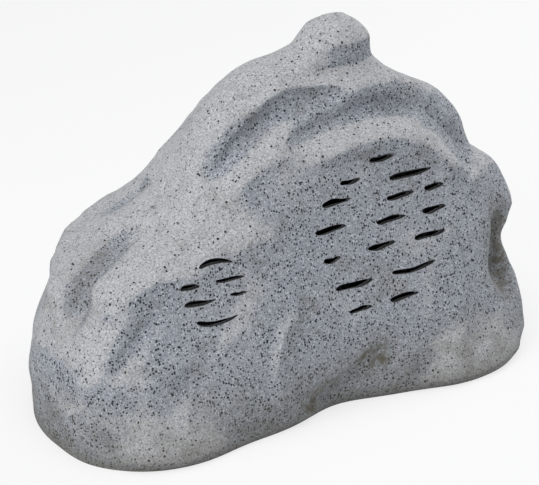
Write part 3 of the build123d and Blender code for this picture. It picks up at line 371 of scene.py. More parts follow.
# %% [markdown]
# ## The skin of the rock
# The real shell is a casting: its large forms are soft, and its surface has the small unevenness of a carved
# pattern. A grid of bearings and heights carries the formula. The rows are spaced by how far the profiles
# travel, so the flat saddles get as many rows as the steep flanks. Each point then moves along its normal by
# a few millimetres: narrow lips where the carved steps begin, facets with sharp crests between them, and
# bumps of three sizes. Facets are the lattice noise without its sign, because that folds it into an edge at
# every zero. Their lattice is turned and warped, so that no edge follows an axis, and they fade out in front
# of the drivers, where the real face is flat.

# %% Lattice noise
lattice_side = 32
lattice_start = 500.0
lattice = np.random.default_rng(11).uniform(-1.0, 1.0, (lattice_side,) * 3)


def bumps(points, size):
    """Smooth noise between -1 and 1: random values on a cubic lattice of that size in millimetres, blended
    between the eight corners of each point's cell by an S-shaped curve."""
    place = points / size + lattice_start
    low = np.floor(place).astype(int)
    t = place - low
    t = t * t * (3 - 2 * t)
    total = np.zeros(len(points))
    for corner in np.ndindex(2, 2, 2):
        weight = np.prod(np.where(np.array(corner) == 1, t, 1 - t), axis=-1)
        index = (low + np.array(corner)) % lattice_side
        total += weight * lattice[index[:, 0], index[:, 1], index[:, 2]]
    return total


print("lattice:", lattice.shape)

# %% Lips and creases of the skin
lips = {
    "riser_lip": ([(265, 0.839), (252, 0.851), (239, 0.862), (227, 0.843), (219, 0.796), (213, 0.729),
                   (201, 0.68)], 6, 2.0),
    "second_lip": ([(242, 0.751), (257, 0.774), (272, 0.798), (286, 0.807), (307, 0.769), (316, 0.711),
                    (325, 0.648)], 6, 1.6),
    "brow_lip": ([(262, 0.68), (278, 0.694), (292, 0.68), (304, 0.632), (312, 0.56), (313, 0.504)], 9, 3.0),
    "toe_crease": ([(281, 0.148), (278, 0.135), (276, 0.114), (272, 0.082), (268, 0.058),
                    (262, 0.061)], 6, -3),
    "toe_fold_lip": ([(279, 0.165), (275, 0.15), (272, 0.128), (267, 0.1)], 8, 2.4),
    "left_crease": ([(226, 0.379), (222, 0.328), (219, 0.28), (217, 0.255)], 7, -2.6),
    "left_lobe_lip": ([(219, 0.385), (215, 0.335), (212, 0.285)], 9, 2.4),
    "low_left_lip": ([(236, 0.3), (232, 0.24), (226, 0.2)], 9, 2.0),
    "low_left_line": ([(242, 0.3), (239, 0.24), (232, 0.195)], 7, -2.2),
    "left_hollow_line": ([(172, 0.51), (178, 0.46), (182, 0.4), (183, 0.33)], 10, -2.2),
    "shoulder_lip": ([(166, 0.887), (176, 0.892), (181, 0.897)], 8, 3.0),
}
calm_spread, calm_share = 1.15, 0.85


def calm(points):
    """Share of the facets that each point keeps: little in front of a driver, and 1 away from both."""
    near = np.zeros(len(points))
    for (bearing, share), radius, _, power in (dishes["woofer_dish"], dishes["tweeter_dish"]):
        centre = smooth_rock(np.array([bearing]), np.array([share]))[0]
        near += np.exp(-((np.linalg.norm(points - centre, axis=-1) / (calm_spread * radius)) ** power))
    return 1 - calm_share * np.clip(near, 0, 1)


print("lips and creases:", len(lips))

# %% Grid of the outer face
columns, rows = 480, 166
level_weight = 0.7
fine_share = np.linspace(0, 1, 3000)
sides = [(left_reach, left_profile), (right_reach, right_profile),
         (front_reach, front_profile), (back_reach, back_profile)]
reaches = np.stack([reach * along(profile, fine_share) for reach, profile in sides])
travel = np.hypot(np.diff(fine_share) * rock_height, level_weight * np.abs(np.diff(reaches)).max(0))
walked = np.concatenate([[0], np.cumsum(travel)])
row_share = np.interp(np.linspace(0, walked[-1], rows), walked, fine_share)
bearing_grid, share_grid = np.meshgrid(bearings_round(columns), row_share)
skin = rock(bearing_grid.ravel(), share_grid.ravel())[0].reshape(rows, columns, 3)


def grid_normals(grid):
    """Outward unit normals of a grid of rings: the cross product of the step round and the step up."""
    round_step = np.roll(grid, -1, 1) - np.roll(grid, 1, 1)
    up_step = np.gradient(grid, axis=0)
    normal = np.cross(round_step, up_step)
    return normal / np.linalg.norm(normal, axis=-1, keepdims=True)


print("skin grid:", skin.shape)

# %% Bumps, facets and lips of the outer face
# Heights and sizes are in millimetres. No dent is deeper than the wall can spare, and the knob stays smooth.
bump_layers = [(1.1, 46.0), (0.8, 21.0), (0.35, 9.0)]
facet_heights, facet_sizes = (6.5, 2.8), (58.0, 27.0)
middle_of_facets = 0.27
warp_reach, warp_size = 14.0, 37.0
tilt = np.array([[0.36, 0.48, -0.8], [-0.8, 0.6, 0.0], [0.48, 0.64, 0.6]])
knob_level, knob_fade, knob_share = 290.0, 40.0, 0.1
deepest_dent = -1.5
foot_fade = 10.0
flat = skin.reshape(-1, 3)
uneven = sum(height * bumps(flat, size) for height, size in bump_layers)
warp = np.stack([bumps(flat + shift, warp_size) for shift in (100.0, 200.0, 300.0)], -1)
facet_place = flat @ tilt + warp_reach * warp
facet_places = facet_place, facet_place[:, ::-1]
folded = [np.abs(bumps(place, size)) for place, size in zip(facet_places, facet_sizes)]
facets = sum(height * (middle_of_facets - fold) for height, fold in zip(facet_heights, folded))
under_knob = np.clip((knob_level - flat[:, 2]) / knob_fade, knob_share, 1)
uneven = np.maximum(uneven + facets * calm(flat) * under_knob, deepest_dent)
uneven += ridge_lift(smooth_rock(bearing_grid.ravel(), share_grid.ravel())[0], forms=lips)
foot = np.clip(flat[:, 2] / foot_fade, 0, 1)
flat = flat + grid_normals(skin).reshape(-1, 3) * (uneven * foot)[:, None]
flat[:, 2] = np.clip(flat[:, 2], 0, None)
skin = flat.reshape(rows, columns, 3)
print("uneven by", round(float(np.abs(uneven).max()), 2), "mm")

# %% Closing the grid into a solid
def mark(mesh, name, values):
    """Store a number for each point of a mesh, which cutting hands on and a finish reads."""
    values = np.broadcast_to(values, len(mesh.vertices)).astype(np.float32)
    mesh.attributes.new(name, "FLOAT", "POINT").data.foreach_set("value", values)


def new_piece(name, points, faces):
    """An object at the origin from points in millimetres and faces."""
    mesh = bpy.data.meshes.new(name)
    mesh.from_pydata((points / 1000).tolist(), [], faces)
    made = bpy.data.objects.new(name, mesh)
    scene.collection.objects.link(made)
    return made


def closed_solid(name, grid, bottom, top, bare=0.0):
    """A closed piece: a grid of rings with a fan of triangles to one point below and one above. Bare, one
    number or one for each ring, says how little of the outer finish covers it."""
    count, around = grid.shape[:2]
    corner = np.arange(count * around).reshape(count, around)
    after = np.roll(corner, -1, 1)
    quads = np.stack([corner[:-1], after[:-1], after[1:], corner[1:]], -1).reshape(-1, 4)
    low, high = count * around, count * around + 1
    below = np.stack([after[0], corner[0], np.full(around, low)], -1)
    above = np.stack([corner[-1], after[-1], np.full(around, high)], -1)
    points = np.concatenate([grid.reshape(-1, 3), [bottom, top]])
    made = new_piece(name, points, quads.tolist() + below.tolist() + above.tolist())
    ring_bare = np.broadcast_to(bare, count)
    mark(made.data, "bare", np.concatenate([np.repeat(ring_bare, around), ring_bare[[0, -1]]]))
    return made


crown = skin[-1]
crown_middle = crown.mean(0)
crown_turn = np.radians([18, 36, 54, 72])[:, None, None]
crown_rise = np.array([0.0, 0.0, 1.6])
cap = crown_middle + (crown - crown_middle) * np.cos(crown_turn) + crown_rise * np.sin(crown_turn)
outer_grid = np.concatenate([skin, cap])
floor_middle = skin[0].mean(0) * [1, 1, 0]
shell = closed_solid("rock_skin", outer_grid, floor_middle, crown_middle + crown_rise)
print("outer solid:", len(shell.data.polygons), "faces")

# %% [markdown]
# ## The hollow inside
# The casting is hollow: a wall of about seven millimetres, an inner flange for the base plate, round seats
# for the two drivers, bosses for the screws and a pad for the cable gland. A mould's core would leave that
# shape, so we make the core, take out of it what stays solid, and cut it out of the rock with Boolean
# modifiers, from the same sizes as the CAD model.

# %% Planes of the drivers and the gland
most_inset = 3.0
level_count = 361


def section(z, inset, count, softness=1.0):
    """A ring of points at a level, moved in by an inset that grows with the wall's lean, so that a sloping
    wall keeps its thickness."""
    bearing = bearings_round(count)
    share = np.full(count, z / rock_height)
    points, out = rock(bearing, share, softness)
    higher = rock(bearing, np.minimum(share + 1 / rock_height, 1.0), softness)[0]
    lower = rock(bearing, np.maximum(share - 1 / rock_height, 0.0), softness)[0]
    lean = ((higher - lower)[:, :2] * out).sum(-1) / (higher - lower)[:, 2]
    points[:, :2] -= out * (inset * np.minimum(np.hypot(1, lean), most_inset))[:, None]
    return points


def wall_y(x, z, first_bearing, last_bearing):
    """Where the outer face stands at (x, z): one level of it, read off by its x."""
    bearing = np.linspace(first_bearing, last_bearing, level_count)
    points = rock(bearing, np.full(level_count, z / rock_height))[0]
    return float(np.interp(x, points[:, 0], points[:, 1]))


def driver_frame(x, z, lean, yaw, depth):
    """Origin, across, up and outward directions of a driver's seat, a depth behind the outer face."""
    tilt, turn = np.radians(lean), np.radians(yaw)
    out = np.array([-np.sin(turn) * np.cos(tilt), -np.cos(turn) * np.cos(tilt), np.sin(tilt)])
    across = np.array([np.cos(turn), -np.sin(turn), 0.0])
    origin = np.array([x, wall_y(x, z, 180, 360), z]) - out * depth
    return origin, across, np.cross(out, across), out


woofer_chamber, tweeter_chamber = 16.0, 8.0
woofer = driver_frame(x=70.5, z=146.0, lean=20.0, yaw=0.0, depth=wall + woofer_chamber)
tweeter = driver_frame(x=-107.5, z=134.0, lean=14.0, yaw=12.0, depth=wall + tweeter_chamber)
gland_x, gland_z, gland_sink = 5.0, 46.0, 3.0
gland_face = wall_y(gland_x, gland_z, 180, 0) - gland_sink
gland = np.array([[gland_x, gland_face, gland_z], [-1.0, 0, 0], [0, 0, 1.0], [0, 1.0, 0]])
print("woofer seat:", np.round(woofer[0], 1), "tweeter seat:", np.round(tweeter[0], 1))

# %% Turned solids
def turned(name, profile, frame_of, count=96):
    """A solid of revolution: a closed profile of (radius, distance forward) carried round a driver's axis."""
    radius, forward = np.array(profile, float).T
    origin, across, up, out = frame_of
    turn = 2 * np.pi * np.arange(count) / count
    spoke = np.cos(turn)[:, None] * across + np.sin(turn)[:, None] * up
    points = origin + radius[None, :, None] * spoke[:, None, :] + forward[None, :, None] * out
    corner = np.arange(count * len(profile)).reshape(count, len(profile))
    right, far = np.roll(corner, -1, 0), np.roll(corner, -1, 1)
    quads = np.stack([corner, right, np.roll(far, -1, 0), far], -1).reshape(-1, 4)
    return new_piece(name, points.reshape(-1, 3), quads.tolist())


def disc(name, radius, back, front, frame_of, count=64, bare=1.0):
    """A plain round plug between two distances along an axis, as two rings closed by fans."""
    origin, across, up, out = frame_of
    turn = 2 * np.pi * np.arange(count) / count
    ring = radius * (np.cos(turn)[:, None] * across + np.sin(turn)[:, None] * up)
    grid = np.stack([origin + ring + back * out, origin + ring + front * out])
    return closed_solid(name, grid, origin + back * out, origin + front * out, bare)


def prism(name, ring, bottom, top):
    """An upright prism on a ring of points."""
    low, high = ring * [1, 1, 0] + [0, 0, bottom], ring * [1, 1, 0] + [0, 0, top]
    return closed_solid(name, np.stack([low, high]), low.mean(0), high.mean(0), bare=1.0)


past_face = 60.0


def seat_ring(name, hole, chamber, outer, thick, frame_of):
    """A driver's seat: a flat ring round the driver's hole, and the chamber's wall from it past the face."""
    wall_of_chamber = [(outer, past_face), (chamber, past_face)]
    profile = [(hole, 0), (outer, 0), *wall_of_chamber, (chamber, thick), (hole, thick)]
    made = turned(name, profile, frame_of)
    mark(made.data, "bare", 1.0)
    return made


print("tools for turned solids ready")

# %% The core and what stays in it
flange_top, flange_bottom, flange_width = 15.0, 7.0, 14.0
shoulder_level, dome_rise, dome_tip, core_softness = 250.0, 24.0, 0.5, 1.6
plate_gap, screw_inset, boss_radius, boss_height = 1.0, 7.0, 6.0, 13.0
core_rings = [section(z, wall, 120, core_softness) for z in np.linspace(flange_top, shoulder_level, 30)]
shoulder = core_rings[-1]
shoulder_middle = shoulder.mean(0)
for angle in np.radians([20, 40, 60, 75]):
    ring = shoulder_middle + (shoulder - shoulder_middle) * np.cos(angle)
    core_rings.append(ring + [0, 0, dome_rise * np.sin(angle)])
core_grid = np.stack(core_rings)
core_top = core_grid[-1].mean(0) + [0, 0, dome_tip]
core = closed_solid("core", core_grid, core_grid[0].mean(0), core_top, bare=1.0)
stays = [
    seat_ring("woofer_seat", hole=72, chamber=82, outer=90, thick=7, frame_of=woofer),
    seat_ring("tweeter_seat", hole=25, chamber=34, outer=40, thick=3.5, frame_of=tweeter),
    disc("gland_pad", radius=18.0, back=-11.0, front=past_face, frame_of=gland),
]
screw_spots = section(0, wall + plate_gap + screw_inset, 72)[::9]
for k, spot in enumerate(screw_spots):
    frame_of_boss = (spot, *np.eye(3))
    stays.append(disc(f"boss_{k}", boss_radius, flange_top - 1, flange_top + boss_height, frame_of_boss, 24))
print("core and", len(stays), "shapes that stay in it")

# %% Cutting
def cut(solid, cutters):
    """Take the cutters out of a solid with Boolean modifiers, apply them, and remove the cutters."""
    for cutter in cutters:
        step = solid.modifiers.new("cut", "BOOLEAN")
        step.operation = "DIFFERENCE"
        step.solver = "MANIFOLD"
        step.object = cutter
    bpy.context.view_layer.update()
    result = bpy.data.meshes.new_from_object(solid.evaluated_get(bpy.context.evaluated_depsgraph_get()))
    solid.modifiers.clear()
    old = solid.data
    solid.data = result
    bpy.data.meshes.remove(old)
    for cutter in cutters:
        bpy.data.objects.remove(cutter)
    print(solid.name, "now has", len(solid.data.polygons), "faces")


def soften(piece, edge):
    """Smooth shading that keeps edges of more than that many degrees sharp."""
    piece.data.shade_smooth()
    piece.data.set_sharp_from_angle(angle=np.radians(edge))


cut(core, stays)
below_ground, overlap = -2.0, 0.5
mouth = prism("mouth", section(0, wall, 144), below_ground, flange_bottom)
flange_ring = section(0, wall + flange_width, 144)
flange_hole = prism("flange_hole", flange_ring, below_ground, flange_top + overlap)
gland_spot = disc("gland_spot", radius=15.0, back=0.0, front=past_face, frame_of=gland, bare=0.0)
gland_hole = disc("gland_hole", radius=6.3, back=-40.0, front=5.0, frame_of=gland)
cut(shell, [core, mouth, flange_hole, gland_spot, gland_hole])

# %% [markdown]
# ## The sound slots
# Sound leaves through short slits in front of each driver. On the real shell they are tapered at the ends
# and their edges are softened by the sprayed stone finish. Each cutter is a thin lens shaped tube that
# follows the surface: its rim is found by going along the driver's axis to the rock, and it flares just under
# the surface, so the edge it leaves is a rounded one and not a knife edge.

# %% Table of the front face
table_x = np.linspace(-200.0, 220.0, 421)
table_z = np.linspace(40.0, 250.0, 141)
front_count = 721
front_bearing, front_share = np.meshgrid(np.linspace(180, 360, front_count), table_z / rock_height)
front_points = rock(front_bearing.ravel(), front_share.ravel())[0].reshape(len(table_z), front_count, 3)
table_y = np.stack([np.interp(table_x, level[:, 0], level[:, 1]) for level in front_points])
first_reach, walk_share, walks = 20.0, 0.8, 12


def face_y(x, z):
    """The front face's y at (x, z), from the table by straight interpolation between its four neighbours."""
    i = np.clip((z - table_z[0]) / (table_z[1] - table_z[0]), 0, len(table_z) - 1.001)
    j = np.clip((x - table_x[0]) / (table_x[1] - table_x[0]), 0, len(table_x) - 1.001)
    a, b = i.astype(int), j.astype(int)
    s, t = i - a, j - b
    low = table_y[a, b] * (1 - t) + table_y[a, b + 1] * t
    high = table_y[a + 1, b] * (1 - t) + table_y[a + 1, b + 1] * t
    return low * (1 - s) + high * s


def reach_of_face(across, up, frame_of):
    """How far forward of a driver's seat the face lies at (across, up): the seat's point is walked along the
    driver's axis until its y is the face's."""
    origin, side, rise, out = frame_of
    base = origin + across[..., None] * side + up[..., None] * rise
    forward = np.full(np.shape(across), first_reach)
    for _ in range(walks):
        point = base + forward[..., None] * out
        forward = forward + (face_y(point[..., 0], point[..., 2]) - point[..., 1]) / out[1] * walk_share
    return forward


print("face table:", table_y.shape)

# %% Slot cutters
# Each slot's place across and up from the driver's axis, its length, its bow and its height, in millimetres
woofer_slots = [
    (11.5, 61, 24, 0, 4.2), (40, 41.5, 46, 0, 5), (-25, 48, 20, 0, 5), (62, 25, 20, 0, 5),
    (24, 25, 28, 0, 4.6), (-41.5, 34, 32, 0, 6), (57.5, 5.5, 25, 0, 5.6), (10, 7, 30.5, 0, 5.3),
    (-53, 12, 34, 0, 6.6), (47.5, -15.5, 33, 0, 5.5), (-5, -13.5, 29, 0, 5.4), (-57, -14, 20, 0, 6.4),
    (23.5, -39.5, 46, -2, 5.2), (-41, -40, 39, 0, 7.2), (9, -62, 32, 0, 5.2), (-39, -62, 24.5, 0, 5.2),
]
tweeter_slots = [
    (6, 20.5, 31, 3, 5), (18, 6, 28, 0, 4.4), (-20, 4.5, 16.5, 1.5, 4.2), (24.5, -7.5, 17, 0, 3.9),
    (-11.5, -9, 30, 0, 4.3), (1.5, -24.5, 39, -4, 5),
]
slot_turn = 2 * np.pi * np.arange(40) / 40
slot_depths = np.array([-3.0, 0.0, 0.3, 0.7, 1.2, 2.0])
slot_bare = np.array([1.0, 1.0, 1.0, 0.95, 0.88, 0.7, 0.0])
slot_flare, slot_run_out = 0.9, 1.5
slot_slack, slot_end_coat = 0.72, 1.5
slot_blunt_ends, slot_blunt_sides = 0.9, 0.8
slot_taper, slot_waves, slot_wander = 0.25, (0.1, 0.07), 0.07


def slot_grid(across, up, length, bow, height, frame_of, chamber):
    """One slot's cutter as rings: a superellipse outline that is blunt on the left and thinner on the right,
    a little wavy, bowed along its length, widened near the surface by a flare that dies away with the square
    of the depth and runs out longer on the right. The coat fills the slot, so it is shorter and lower than
    moulded."""
    c, s = np.cos(slot_turn), np.sin(slot_turn)
    edge_u = (length - slot_end_coat) / 2 * np.sign(c) * np.abs(c) ** slot_blunt_ends
    waves = np.stack([np.sin(3 * slot_turn + across), np.sin(5 * slot_turn + 2 * up)])
    thickness = 1 - slot_taper * c + slot_waves @ waves
    edge_v = height * slot_slack / 2 * np.sign(s) * np.abs(s) ** slot_blunt_sides * thickness
    normal_u, normal_v = c * height, s * length
    norm = np.hypot(normal_u, normal_v)
    under = np.clip(1 - slot_depths / slot_depths[-1], 0, None)
    flare = slot_flare * np.where(slot_depths < 0, 1 - 2 * slot_depths / slot_depths[-1], under**2)
    u = edge_u + flare[:, None] * normal_u / norm * (1 + slot_run_out * np.clip(c, 0, 1))
    v = edge_v + flare[:, None] * normal_v / norm
    wander = slot_wander * height * np.sin(7 * edge_u / length + up)
    u, v = across + u, up + v + wander + bow * (1 - (2 * edge_u / length) ** 2)
    origin, side, rise, out = frame_of
    forward = reach_of_face(u, v, frame_of) - slot_depths[:, None]
    rim = origin + u[..., None] * side + v[..., None] * rise + forward[..., None] * out
    deep = origin + u[-1:, :, None] * side + v[-1:, :, None] * rise + chamber / 2 * out
    return np.concatenate([rim, deep])[::-1]


slot_cutters = []
for names, slots, frame_of, chamber in (("woofer_slot", woofer_slots, woofer, woofer_chamber),
                                        ("tweeter_slot", tweeter_slots, tweeter, tweeter_chamber)):
    for k, slot in enumerate(slots):
        grid = slot_grid(*slot, frame_of, chamber)
        ends = grid[0].mean(0), grid[-1].mean(0)
        slot_cutters.append(closed_solid(f"{names}_{k}", grid, *ends, bare=slot_bare))
cut(shell, slot_cutters)
soften(shell, 42)
print("slots cut:", len(woofer_slots) + len(tweeter_slots))

# %% [markdown]
# ## The granite-effect finish
# The shell is black polyester resin sprayed with a stone finish: a blue grey coat full of black and pale
# chips one to two millimetres across, then a thin pale coat from above, which covers the tops and the crests
# and is dust together with painted light from above, and soil along the foot, with painted shade there too.
# The hollows and creases are painted darker, which is painted shade. Inside the slots the finish runs out and
# the black resin shows. The chips are cells of a Voronoi texture, each with its own random size. What follows
# the form reads numbers stored on the mesh: how far the form is pushed in there, how much painted shade lies
# there and how bare the cutters left it.

# %% How hollow the skin is and how much painted shade it gets at each point
full_hollow = 9.0
corners = np.empty(len(shell.data.vertices) * 3)
shell.data.vertices.foreach_get("co", corners)
corners = corners.reshape(-1, 3) * 1000
# Paths where the grooves, creases and front foot are painted darker: painted shade
painted_shade_paths = {
    "right_groove": (ridges["right_groove"][0], 20, 1.7),
    "toe_crease": (lips["toe_crease"][0], 13, 2.8),
    "left_hollow": (lips["left_hollow_line"][0], 18, 0.6),
    "front_foot": ([(228, 0.03), (250, 0.05), (268, 0.05)], 18, 0.6),
}


def lift_at_corners(forms):
    """The lift of some forms at the mesh's points, a twelfth of them at a time to save memory."""
    return np.concatenate([ridge_lift(part, forms=forms) for part in np.array_split(corners, 12)])


hollow = np.clip(-lift_at_corners(ridges) / full_hollow, -1, 1)
mark(shell.data, "hollow", hollow)
mark(shell.data, "painted_shade", np.clip(lift_at_corners(painted_shade_paths), 0, 1))
print("hollow from", round(float(hollow.min()), 2), "to", round(float(hollow.max()), 2))

# %% Chips of the stone finish
# Matt and grainy: the eye sees blue grey granite with crisp dark chips, paler on top from dust and painted
# light, darker below from soil and painted shade
stone, tree, shader = new_finish("granite_effect_resin", Roughness=0.88, IOR=1.48)
place = node(tree, "TexCoord", out="Object")
per_mm = 1000.0
chip_edge = 0.08


def chips(cell_mm, least, largest, hidden):
    """Share of a chip: one to a Voronoi cell of that size, with a reach that grows with the cell's random
    number above a least one, less what hides it. The share runs from 0 to 1 within a thin soft edge."""
    cells = node(tree, "TexVoronoi", [("Vector", place), ("Scale", per_mm / cell_mm)])
    chance = node(tree, "SeparateColor", [(0, cells.outputs["Color"])], out=0)
    reach = node(tree, "MapRange", [(0, chance), (1, least), (2, 1.0), (3, 0.0), (4, largest)], out=0)
    seen = node(tree, "Math", [(0, reach), (1, hidden)], out=0, operation="SUBTRACT")
    inside = node(tree, "Math", [(0, seen), (1, cells.outputs["Distance"])], out=0, operation="SUBTRACT")
    return node(tree, "MapRange", [(0, inside), (1, 0.0), (2, chip_edge)], out=0)


print("chips ready")

# %% What the coats of the stone finish follow
# The pale top coat falls from this direction: dust settling from above, and painted light from the overhead
# softbox
dust_and_light_from = (-0.3, -0.03, 0.95)
normal = node(tree, "NewGeometry", out="Normal")
facing = node(tree, "VectorMath", [(0, normal), (1, dust_and_light_from)], out="Value", operation="DOT_PRODUCT")
height = node(tree, "SeparateXYZ", [(0, place)], out=2)
hollow, painted_shade, bare = (
    node(tree, "Attribute", out="Fac", attribute_name=name) for name in ("hollow", "painted_shade", "bare")
)
patch, grit, ragged, cast = (
    node(tree, "TexNoise", [("Vector", place), ("Scale", per_mm / size_mm), ("Detail", detail)], out=0)
    for size_mm, detail in ((60, 3.0), (1.6, 2.0), (7, 3.0), (9, 4.0))
)
soil_size_mm = 28
soil_patch = node(tree, "TexNoise", [("Vector", place), ("Scale", per_mm / soil_size_mm), ("Detail", 4.0),
                                     ("Distortion", 1.2)], out=0)
# Each ramp: what it reads, the range that it reads, and what it gives at the two ends; heights are in metres
ramps = {
    "loose": (patch, 0.3, 0.7, -0.1, 0.1),
    "fringe": (ragged, 0.3, 0.7, -0.07, 0.07),
    "crown_dust": (height, 0.255, 0.29, 0.0, 0.4),
    # Darker towards the bottom in patches, and a dark band at the very foot: soil and painted shade
    "low": (height, 0.012, 0.07, 1.0, 0.0),
    "spread": (soil_patch, 0.3, 0.65, 0.1, 0.9),
    "foot_soil_and_shade": (height, 0.003, 0.03, 0.85, 0.0),
    "stain": (soil_patch, 0.54, 0.72, 0.0, 0.42),
    "patchy": (ragged, 0.3, 0.65, 0.35, 1.3),
    # Darker in the hollows of the form: painted shade
    "deep": (hollow, 0.2, 0.9, 0.0, 0.08),
    "mottle": (grit, 0.3, 0.7, 0.6, 1.34),
}
eased = {name: node(tree, "MapRange", enumerate(values), out=0) for name, values in ramps.items()}
print("ramps:", len(eased))

# %% Where each coat of the stone finish lies
# The pale top coat is dust and painted light from above; it is thinner in the hollows, which is painted shade
painted_hollow_shade, pale_starts, pale_full = -0.6, 0.41, 0.64
chips_covered, soil_and_shade_strength = 0.17, 0.75
dust_and_top_light = node(tree, "Math", [(0, hollow), (1, painted_hollow_shade), (2, facing)], out=0, operation="MULTIPLY_ADD")
for name in ("loose", "fringe", "crown_dust"):
    dust_and_top_light = node(tree, "Math", [(0, dust_and_top_light), (1, eased[name])], out=0, operation="ADD")
top = node(tree, "MapRange", [(0, dust_and_top_light), (1, pale_starts), (2, pale_full)], out=0)
hidden = node(tree, "Math", [(0, top), (1, chips_covered)], out=0, operation="MULTIPLY")
# Painted shade in the creases and at the front foot, broken into patches
patchy_shade = node(tree, "Math", [(0, painted_shade), (1, eased["patchy"])], out=0, operation="MULTIPLY")
# Soil and painted shade near the foot, real stains, and the painted crease shade
soil_and_shade = node(tree, "Math", [(0, eased["low"]), (1, eased["spread"])], out=0, operation="MULTIPLY")
for layer in (eased["foot_soil_and_shade"], eased["stain"], patchy_shade):
    soil_and_shade = node(tree, "Math", [(0, soil_and_shade), (1, layer)], out=0, operation="MAXIMUM")
soil_and_shade = node(tree, "Math", [(0, soil_and_shade), (1, soil_and_shade_strength)], out=0, operation="MULTIPLY", use_clamp=True)
print("coats placed")

# %% Colours of the stone finish
tone = node(tree, "Mix", [(0, patch), (6, linear("#91979F")), (7, linear("#A1A4AA"))], out=2,
            data_type="RGBA")
coats = [
    # Painted shade: the hollows of the form darker
    (eased["deep"], linear("#767D86"), "MIX"),
    # Pale on the tops: dust and painted light from above
    (top, linear("#B3B4B6"), "MIX"),
    (1.0, eased["mottle"], "MULTIPLY"),
    (chips(1.6, 0.3, 0.52, hidden), linear("#C8CCD2"), "MIX"),
    (chips(2.2, 0.12, 0.55, hidden), linear("#2C2E33"), "MIX"),
    (chips(4.2, 0.45, 0.34, 0.0), linear("#1D1E20"), "MIX"),
    # Soil and painted shade, darker towards the foot
    (soil_and_shade, linear("#5A5548"), "MIX"),
    (bare, linear("#0B0B0C"), "MIX"),
]
for share, colour, kind in coats:
    tone = node(tree, "Mix", [(0, share), (6, tone), (7, colour)], out=2, data_type="RGBA", blend_type=kind)
relief = node(tree, "Bump", [("Height", cast), ("Strength", 0.3), ("Distance", 0.0012)], out=0)
sand = node(tree, "Bump", [("Height", grit), ("Strength", 0.4), ("Distance", 0.0005), ("Normal", relief)],
            out=0)
feed(tree, shader, Base_Color=tone, Normal=sand)
shell.data.materials.clear()
shell.data.materials.append(stone)
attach(shell, "enclosure")
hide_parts("rock_shell")
print("stone finish:", len(tree.nodes), "nodes")

# %% [markdown]
# ## Surround and spider
# Two soft rings carry the woofer's cone: a half roll of rubber at its rim and a pleated disc of cloth round
# its neck. When the cone moves they bend. Here the CAD pieces, which are stiff, are hidden and replaced by
# turned rings. The roll is turned in two halves, and the outer one stays with the basket. The disc is turned
# as one ring for each side of a pleat.

# %% Halves of the rubber roll
basket_front, roll_middle, land_thick = -2.0, 61.0, 1.0
outside, inside = 5.5, 4.5
rise = np.radians(np.linspace(0, 90, 13))
climb = np.linspace(np.arcsin(land_thick / outside), np.pi / 2, 13)


def roll_half(name, side, land):
    """Half of the roll: a quarter ring in section about the roll's middle, and the flat land beside it."""
    under = [(roll_middle + side * inside * np.cos(t), inside * np.sin(t)) for t in rise[::-1]]
    over = [(roll_middle + side * outside * np.cos(t), outside * np.sin(t)) for t in climb]
    profile = [(land, 0.0), (land, land_thick), *over, *under]
    profile = [(radius, basket_front + forward) for radius, forward in profile]
    half = turned(name, profile if side > 0 else profile[::-1], woofer, 128)
    soften(half, 40)
    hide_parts("woofer_surround")
    return half


roll_outer = roll_half("surround_outer_half", 1, 71.0)
roll_inner = roll_half("surround_inner_half", -1, 51.0)
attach(roll_outer, "enclosure")
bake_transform(roll_inner)
print("roll:", len(roll_outer.data.polygons) + len(roll_inner.data.polygons), "faces")

# %% Rings of the pleated cloth
cone_neck, shelf_neck, cloth_rim, shelf_front, cloth = 13.3, 38.0, 42.0, -34.0, 0.8
pleats = 8
pleat_radius = np.linspace(cone_neck, shelf_neck, pleats + 1)
pleat_height = np.array([0, 1.5, -1.5, 1.5, -1.5, 1.5, -1.5, 1.5, 0])


def cloth_ring(name, ends):
    """A ring of cloth between two points of its section."""
    ring = turned(name, [*ends, *[(radius, forward + cloth) for radius, forward in ends[::-1]]], woofer, 96)
    soften(ring, 40)
    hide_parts("woofer_spider")
    return ring


spider_rings = []
folds = list(zip(pleat_radius, shelf_front + pleat_height))
for k in range(pleats):
    pleat = cloth_ring(f"spider_pleat_{k}", folds[k:k + 2])
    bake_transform(pleat)
    spider_rings.append(pleat)
spider_land = cloth_ring("spider_land", [(shelf_neck, shelf_front), (cloth_rim, shelf_front)])
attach(spider_land, "enclosure")
print("pleats:", len(spider_rings))

# %% [markdown]
# ## Finishes of the parts inside
# Nobody sees these parts until the shell is opened, but each is made of something. Most finishes here are one
# grain: a noise of the right size between two close colours, which also varies the gloss and raises the
# surface a little. Wound wire, woven cloth and foam have patterns of their own. Each CAD piece then takes the
# finish that the record names for it, so a new piece in the record would be dressed without a new line here.

# %% Grained finishes
gloss_swing = 0.07


def grained(name, first, second, grain_mm, rough, raised_mm, stretch=(1.0, 1.0, 1.0), **sockets):
    """A finish whose two colours, gloss and relief follow one noise of that grain, stretched on the axes."""
    finish, tree, shader = new_finish(name, **sockets)
    place = node(tree, "TexCoord", out="Object")
    place = node(tree, "Mapping", [("Vector", place), ("Scale", stretch)], out=0)
    grain = node(tree, "TexNoise", [("Vector", place), ("Scale", per_mm / grain_mm), ("Detail", 4.0)], out=0)
    share = node(tree, "MapRange", [(0, grain), (1, 0.3), (2, 0.7)], out=0)
    tone = node(tree, "Mix", [(0, share), (6, linear(first)), (7, linear(second))], out=2, data_type="RGBA")
    gloss = node(tree, "MapRange", [(0, share), (3, rough - gloss_swing), (4, rough + gloss_swing)], out=0)
    raised = node(tree, "Bump", [("Height", grain), ("Strength", 0.5), ("Distance", raised_mm / 1000)], out=0)
    feed(tree, shader, Base_Color=tone, Roughness=gloss, Normal=raised)
    return finish


